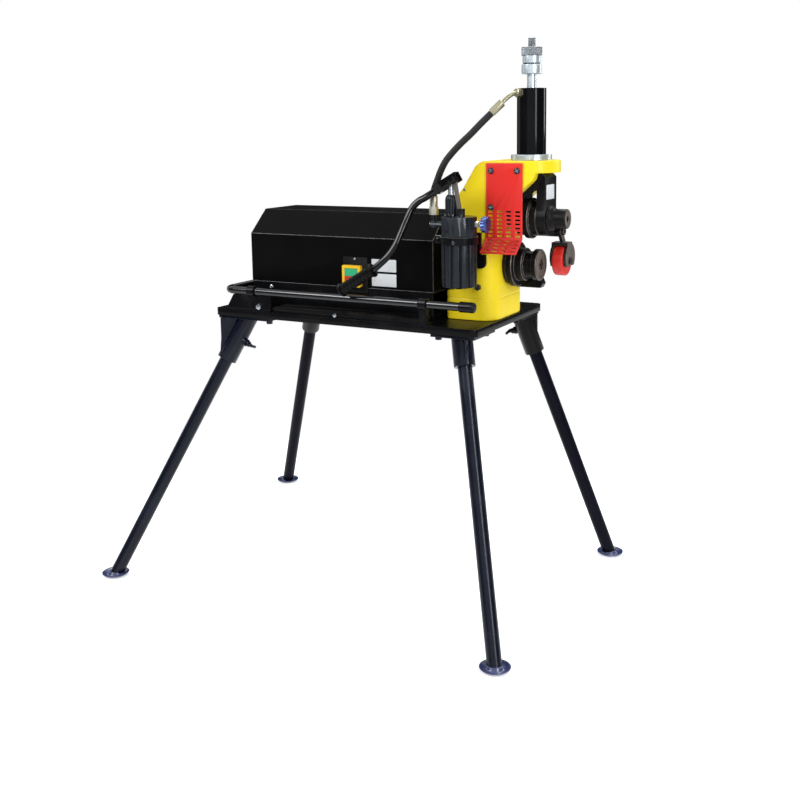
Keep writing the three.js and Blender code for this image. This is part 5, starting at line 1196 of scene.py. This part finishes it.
# painted shade: the flute floors take the darker stand paint
second_finish(tank, "stand_paint", shaded_flute_floor)
turned_piece("pump_tank_drain", "pump_paint", "pump_tank", [[0, 0], [8.5, 0], [10, 1.5], [10, 7], [0, 7]],
             on_pump(pump["tank_low"] - pump["drain"]), z_axis, sides=64)
softened("pump_head", "pump_paint", 0.6)
softened("pump_bracket", "stand_paint", 0.6)
band = applied(softened("pump_band", "stand_paint", 0.6))
# painted highlight: the band's upward faces get plain steel, a light line along its top rim
second_finish(band, "plain_steel", lambda normal, middle: normal[:, 2] > 0.4)

# %% Pump fittings
groove = {"count": 8, "depth": 1.3, "power": 6, "above": 2.5, "fade": 4, "from_radius": 8.5}
sleeve_place = (285.0, pump["y"], 953.3)
knob_hub_right = pump["x"] + 60


def grooved(radius, distance, angle):
    """Grooves down a sleeve: the radius dips in each, fading in above the foot."""
    sink = groove["depth"] * dips(angle, groove["count"], groove["power"])
    fade = np.clip((distance - groove["above"]) / groove["fade"], 0, 1)
    return radius - np.where(radius > groove["from_radius"], sink * fade, 0)


def pump_skin(angle, radius, height):
    """A place on the pump's skin and the direction outwards: angle is in degrees from +X."""
    out = np.array((math.cos(math.radians(angle)), math.sin(math.radians(angle)), 0.0))
    return on_pump(height) + radius * out, out


sleeve_profile = [[7.6, 0], [13.6, 0], [14, 0.5], [14, 2.5], *rows_at(13.9, 4, 38, 24), [13.2, 42],
                  [11.6, 46], [9.4, 49], [8.2, 50], [7.6, 50], [7.6, 0]]
grid_piece("plunger_sleeve_body", "pump_paint", "plunger_sleeve",
           turned(sleeve_profile, sleeve_place, z_axis, sides=160, shape=grooved), ["plunger_sleeve"])
pan_head("pump_band_screw", "dark_screw", "pump_band", *pump_skin(-82, 44.8, 895.6), 4.2, 2.4, slots=1)
turned_piece("pump_port_plug", "black_plastic", "pump_head",
             [[0, 0], [4.2, 0], [4.2, 2.4], [2.4, 2.4], [2.0, 1.2], [0, 1.2]], *pump_skin(-108, 40.6, 920),
             soften=0.4, sides=48)
softened("plunger_rod", "worked_steel", 0.4)
softened("pump_link", "link_steel", 0.5)
second_finish(applied(softened("release_knob", "knob_chrome", 0.7)), "zinc_pale",
              lambda normal, middle: (normal[:, 0] < -0.35) | (middle[:, 0] < knob_hub_right))
hex_head("release_stem_nut", "zinc_pale", "release_knob", on_pump(936.0) + 43 * x_axis, x_axis, 8.4, 7.6)
tally("pump")

# %% [markdown]
# ## Pump lever and grip
# The lever slopes down out of its channel, bends past the cover's edge, sweeps outwards and ends in
# a ribbed rubber grip. Its tube is right as it is in the frame, and the grip is turned round the
# tube's last straight stretch.

# %% Lever
lever_pivot = np.array((297.0, pump["y"], 1041.0))
lever_lean, channel_reach = math.radians(30), 30
softened("pump_lever", "lever_paint", 0.8)
grip_from = lever_pivot + (-149 - channel_reach, -72, -194 - channel_reach * math.tan(lever_lean))
grip_step = np.array((-91.0, 0.0, -55.0))
grip = {"length": np.linalg.norm(grip_step) + 5, "ribs": 9, "radius": 12.2, "rise": 1.8, "flange": 17.5,
        "first": 11, "last": 6}


def grip_profile():
    """Flanges at both ends, and between them ribs: the radius is a smooth wave with flat tops."""
    length, flange = grip["length"], grip["flange"]
    distance = np.linspace(grip["first"], length - grip["last"], 240)
    share = (distance - grip["first"]) / (distance[-1] - grip["first"])
    wave = np.clip(np.abs(np.sin(np.pi * grip["ribs"] * share)) * 2.2, 0, 1)
    body = np.stack([grip["radius"] + grip["rise"] * wave, distance], axis=1)
    head = [[0, 5], [8.6, 5], [flange - 0.9, 5], [flange, 6], [flange, 9], [flange - 0.9, 10], [13, 10.4]]
    tail = [[13, length - 5.4], [flange - 0.9, length - 5], [flange, length - 4], [flange, length - 1],
            [flange - 1.1, length], [0, length]]
    return np.concatenate([head, body, tail])


grid_piece("lever_grip_rubber", "rubber", "lever_grip", turned(grip_profile(), grip_from, grip_step),
           ["lever_grip"], sharp=50)
print("lever: grip", round(grip["length"]), "mm")

# %% [markdown]
# ## Hydraulic hose
# The hose carries oil from the pump to the cylinder. It leaves both fittings straight and hangs
# between them in one easy curve, held at both ends, so both ends are on the machine. Its path is
# the frame's route, and the tube has a fine cloth-like skin.

# %% Hose
elbow_top, hose_radius = 950, 8
hose_route = [(356, -78, 1190), (332, -88, 1165), (310, -97, 1141), (290, -105, 1121), (271, -112, 1100),
              (256, -118, 1080), (245, -122, 1058), (237, -125, 1036), (230, -127.5, 1015), (228, -128, 1005),
              (228, -128, 998)]


def through(points, steps=12):
    """A smooth line through points: a cubic for each gap whose end slopes follow the neighbours'
    distances to the power one half."""
    points = np.asarray(points, float)
    ends = np.concatenate([[2 * points[0] - points[1]], points, [2 * points[-1] - points[-2]]])
    gap = np.maximum(np.linalg.norm(np.diff(ends, axis=0), axis=1), 1e-6) ** 0.5
    knot = np.concatenate([[0], np.cumsum(gap)])
    p0, p1, p2, p3 = (ends[i:len(ends) - 3 + i][:, None] for i in range(4))
    t0, t1, t2, t3 = (knot[i:len(knot) - 3 + i][:, None, None] for i in range(4))
    t = t1 + (t2 - t1) * np.linspace(0, 1, steps, endpoint=False)[None, :, None]
    a1 = (t1 - t) / (t1 - t0) * p0 + (t - t0) / (t1 - t0) * p1
    a2 = (t2 - t) / (t2 - t1) * p1 + (t - t1) / (t2 - t1) * p2
    a3 = (t3 - t) / (t3 - t2) * p2 + (t - t2) / (t3 - t2) * p3
    b1 = (t2 - t) / (t2 - t0) * a1 + (t - t0) / (t2 - t0) * a2
    b2 = (t3 - t) / (t3 - t1) * a2 + (t - t1) / (t3 - t1) * a3
    line = (t2 - t) / (t2 - t1) * b1 + (t - t1) / (t2 - t1) * b2
    return np.concatenate([line.reshape(-1, 3), points[-1:]])


hose_path = through(hose_route)
hose = grid_piece("hydraulic_hose_tube", "hose_rubber", "hydraulic_hose",
                  along_path(hose_path, hose_radius, hint=y_axis), ["hydraulic_hose"])
softened("hose_end_cylinder", "zinc_steel", 0.5)
second_finish(applied(softened("hose_end_pump", "zinc_pale", 0.5)), "dark_screw",
              lambda normal, middle: middle[:, 2] < elbow_top)

# %% [markdown]
# ## Switch
# A yellow surround on a black plate holds a green start key and a red stop key. The keys are
# shallow cushions: their faces bulge a little and their corners are round.

# %% Switch
key_left, key_right, key_front, key_back = -10.2, 26.2, -153.6, -147.4
key_radius, key_crown = 2.2, 0.9
keys = [("start_button", "button_green", 796.9, 815.7), ("stop_button", "button_red", 777.3, 796.1)]
softened("switch_plate", "black_plastic", 0.7, segments=3)
softened("switch_bezel", "bezel_yellow", 0.8, segments=3)


def key_points(low, high):
    """A rounded rectangle whose front bulges by crown * (1 - u ** 2) * (1 - v ** 2)."""
    outline = rounded_box(key_left, low, key_right, high, key_radius, 8)
    middle = outline.mean(axis=0)
    share = np.concatenate([[0.0], np.ones(2), np.linspace(0.98, 0, 14)])[:, None]
    flat = middle + share[..., None] * (outline - middle)[None]
    half = np.array((key_right - key_left, high - low)) / 2
    bulge = key_crown * np.prod(np.clip(1 - ((flat - middle) / half) ** 2, 0, 1), axis=-1)
    depth = key_front + key_crown - bulge
    depth[:2] = key_back
    return np.stack([flat[..., 0], depth, flat[..., 1]], axis=-1)


for node, look, low, high in keys:
    grid_piece(node + "_key", look, node, key_points(low, high), [node])
tally("switch")

# %% [markdown]
# ## Nodes that keep their own mesh
# The motor and its coupling under the cover, and the cable's gland in its end, are right as they
# are, and only need a finish.

# %% Finishes for the nodes that stay
kept = {"gear_motor": "motor_paint", "coupling": "oiled_steel", "cable_gland": "rubber"}
for node, look in kept.items():
    for place in nodes[node].material_slots:
        place.material = finishes[look]
print("kept:", ", ".join(kept))
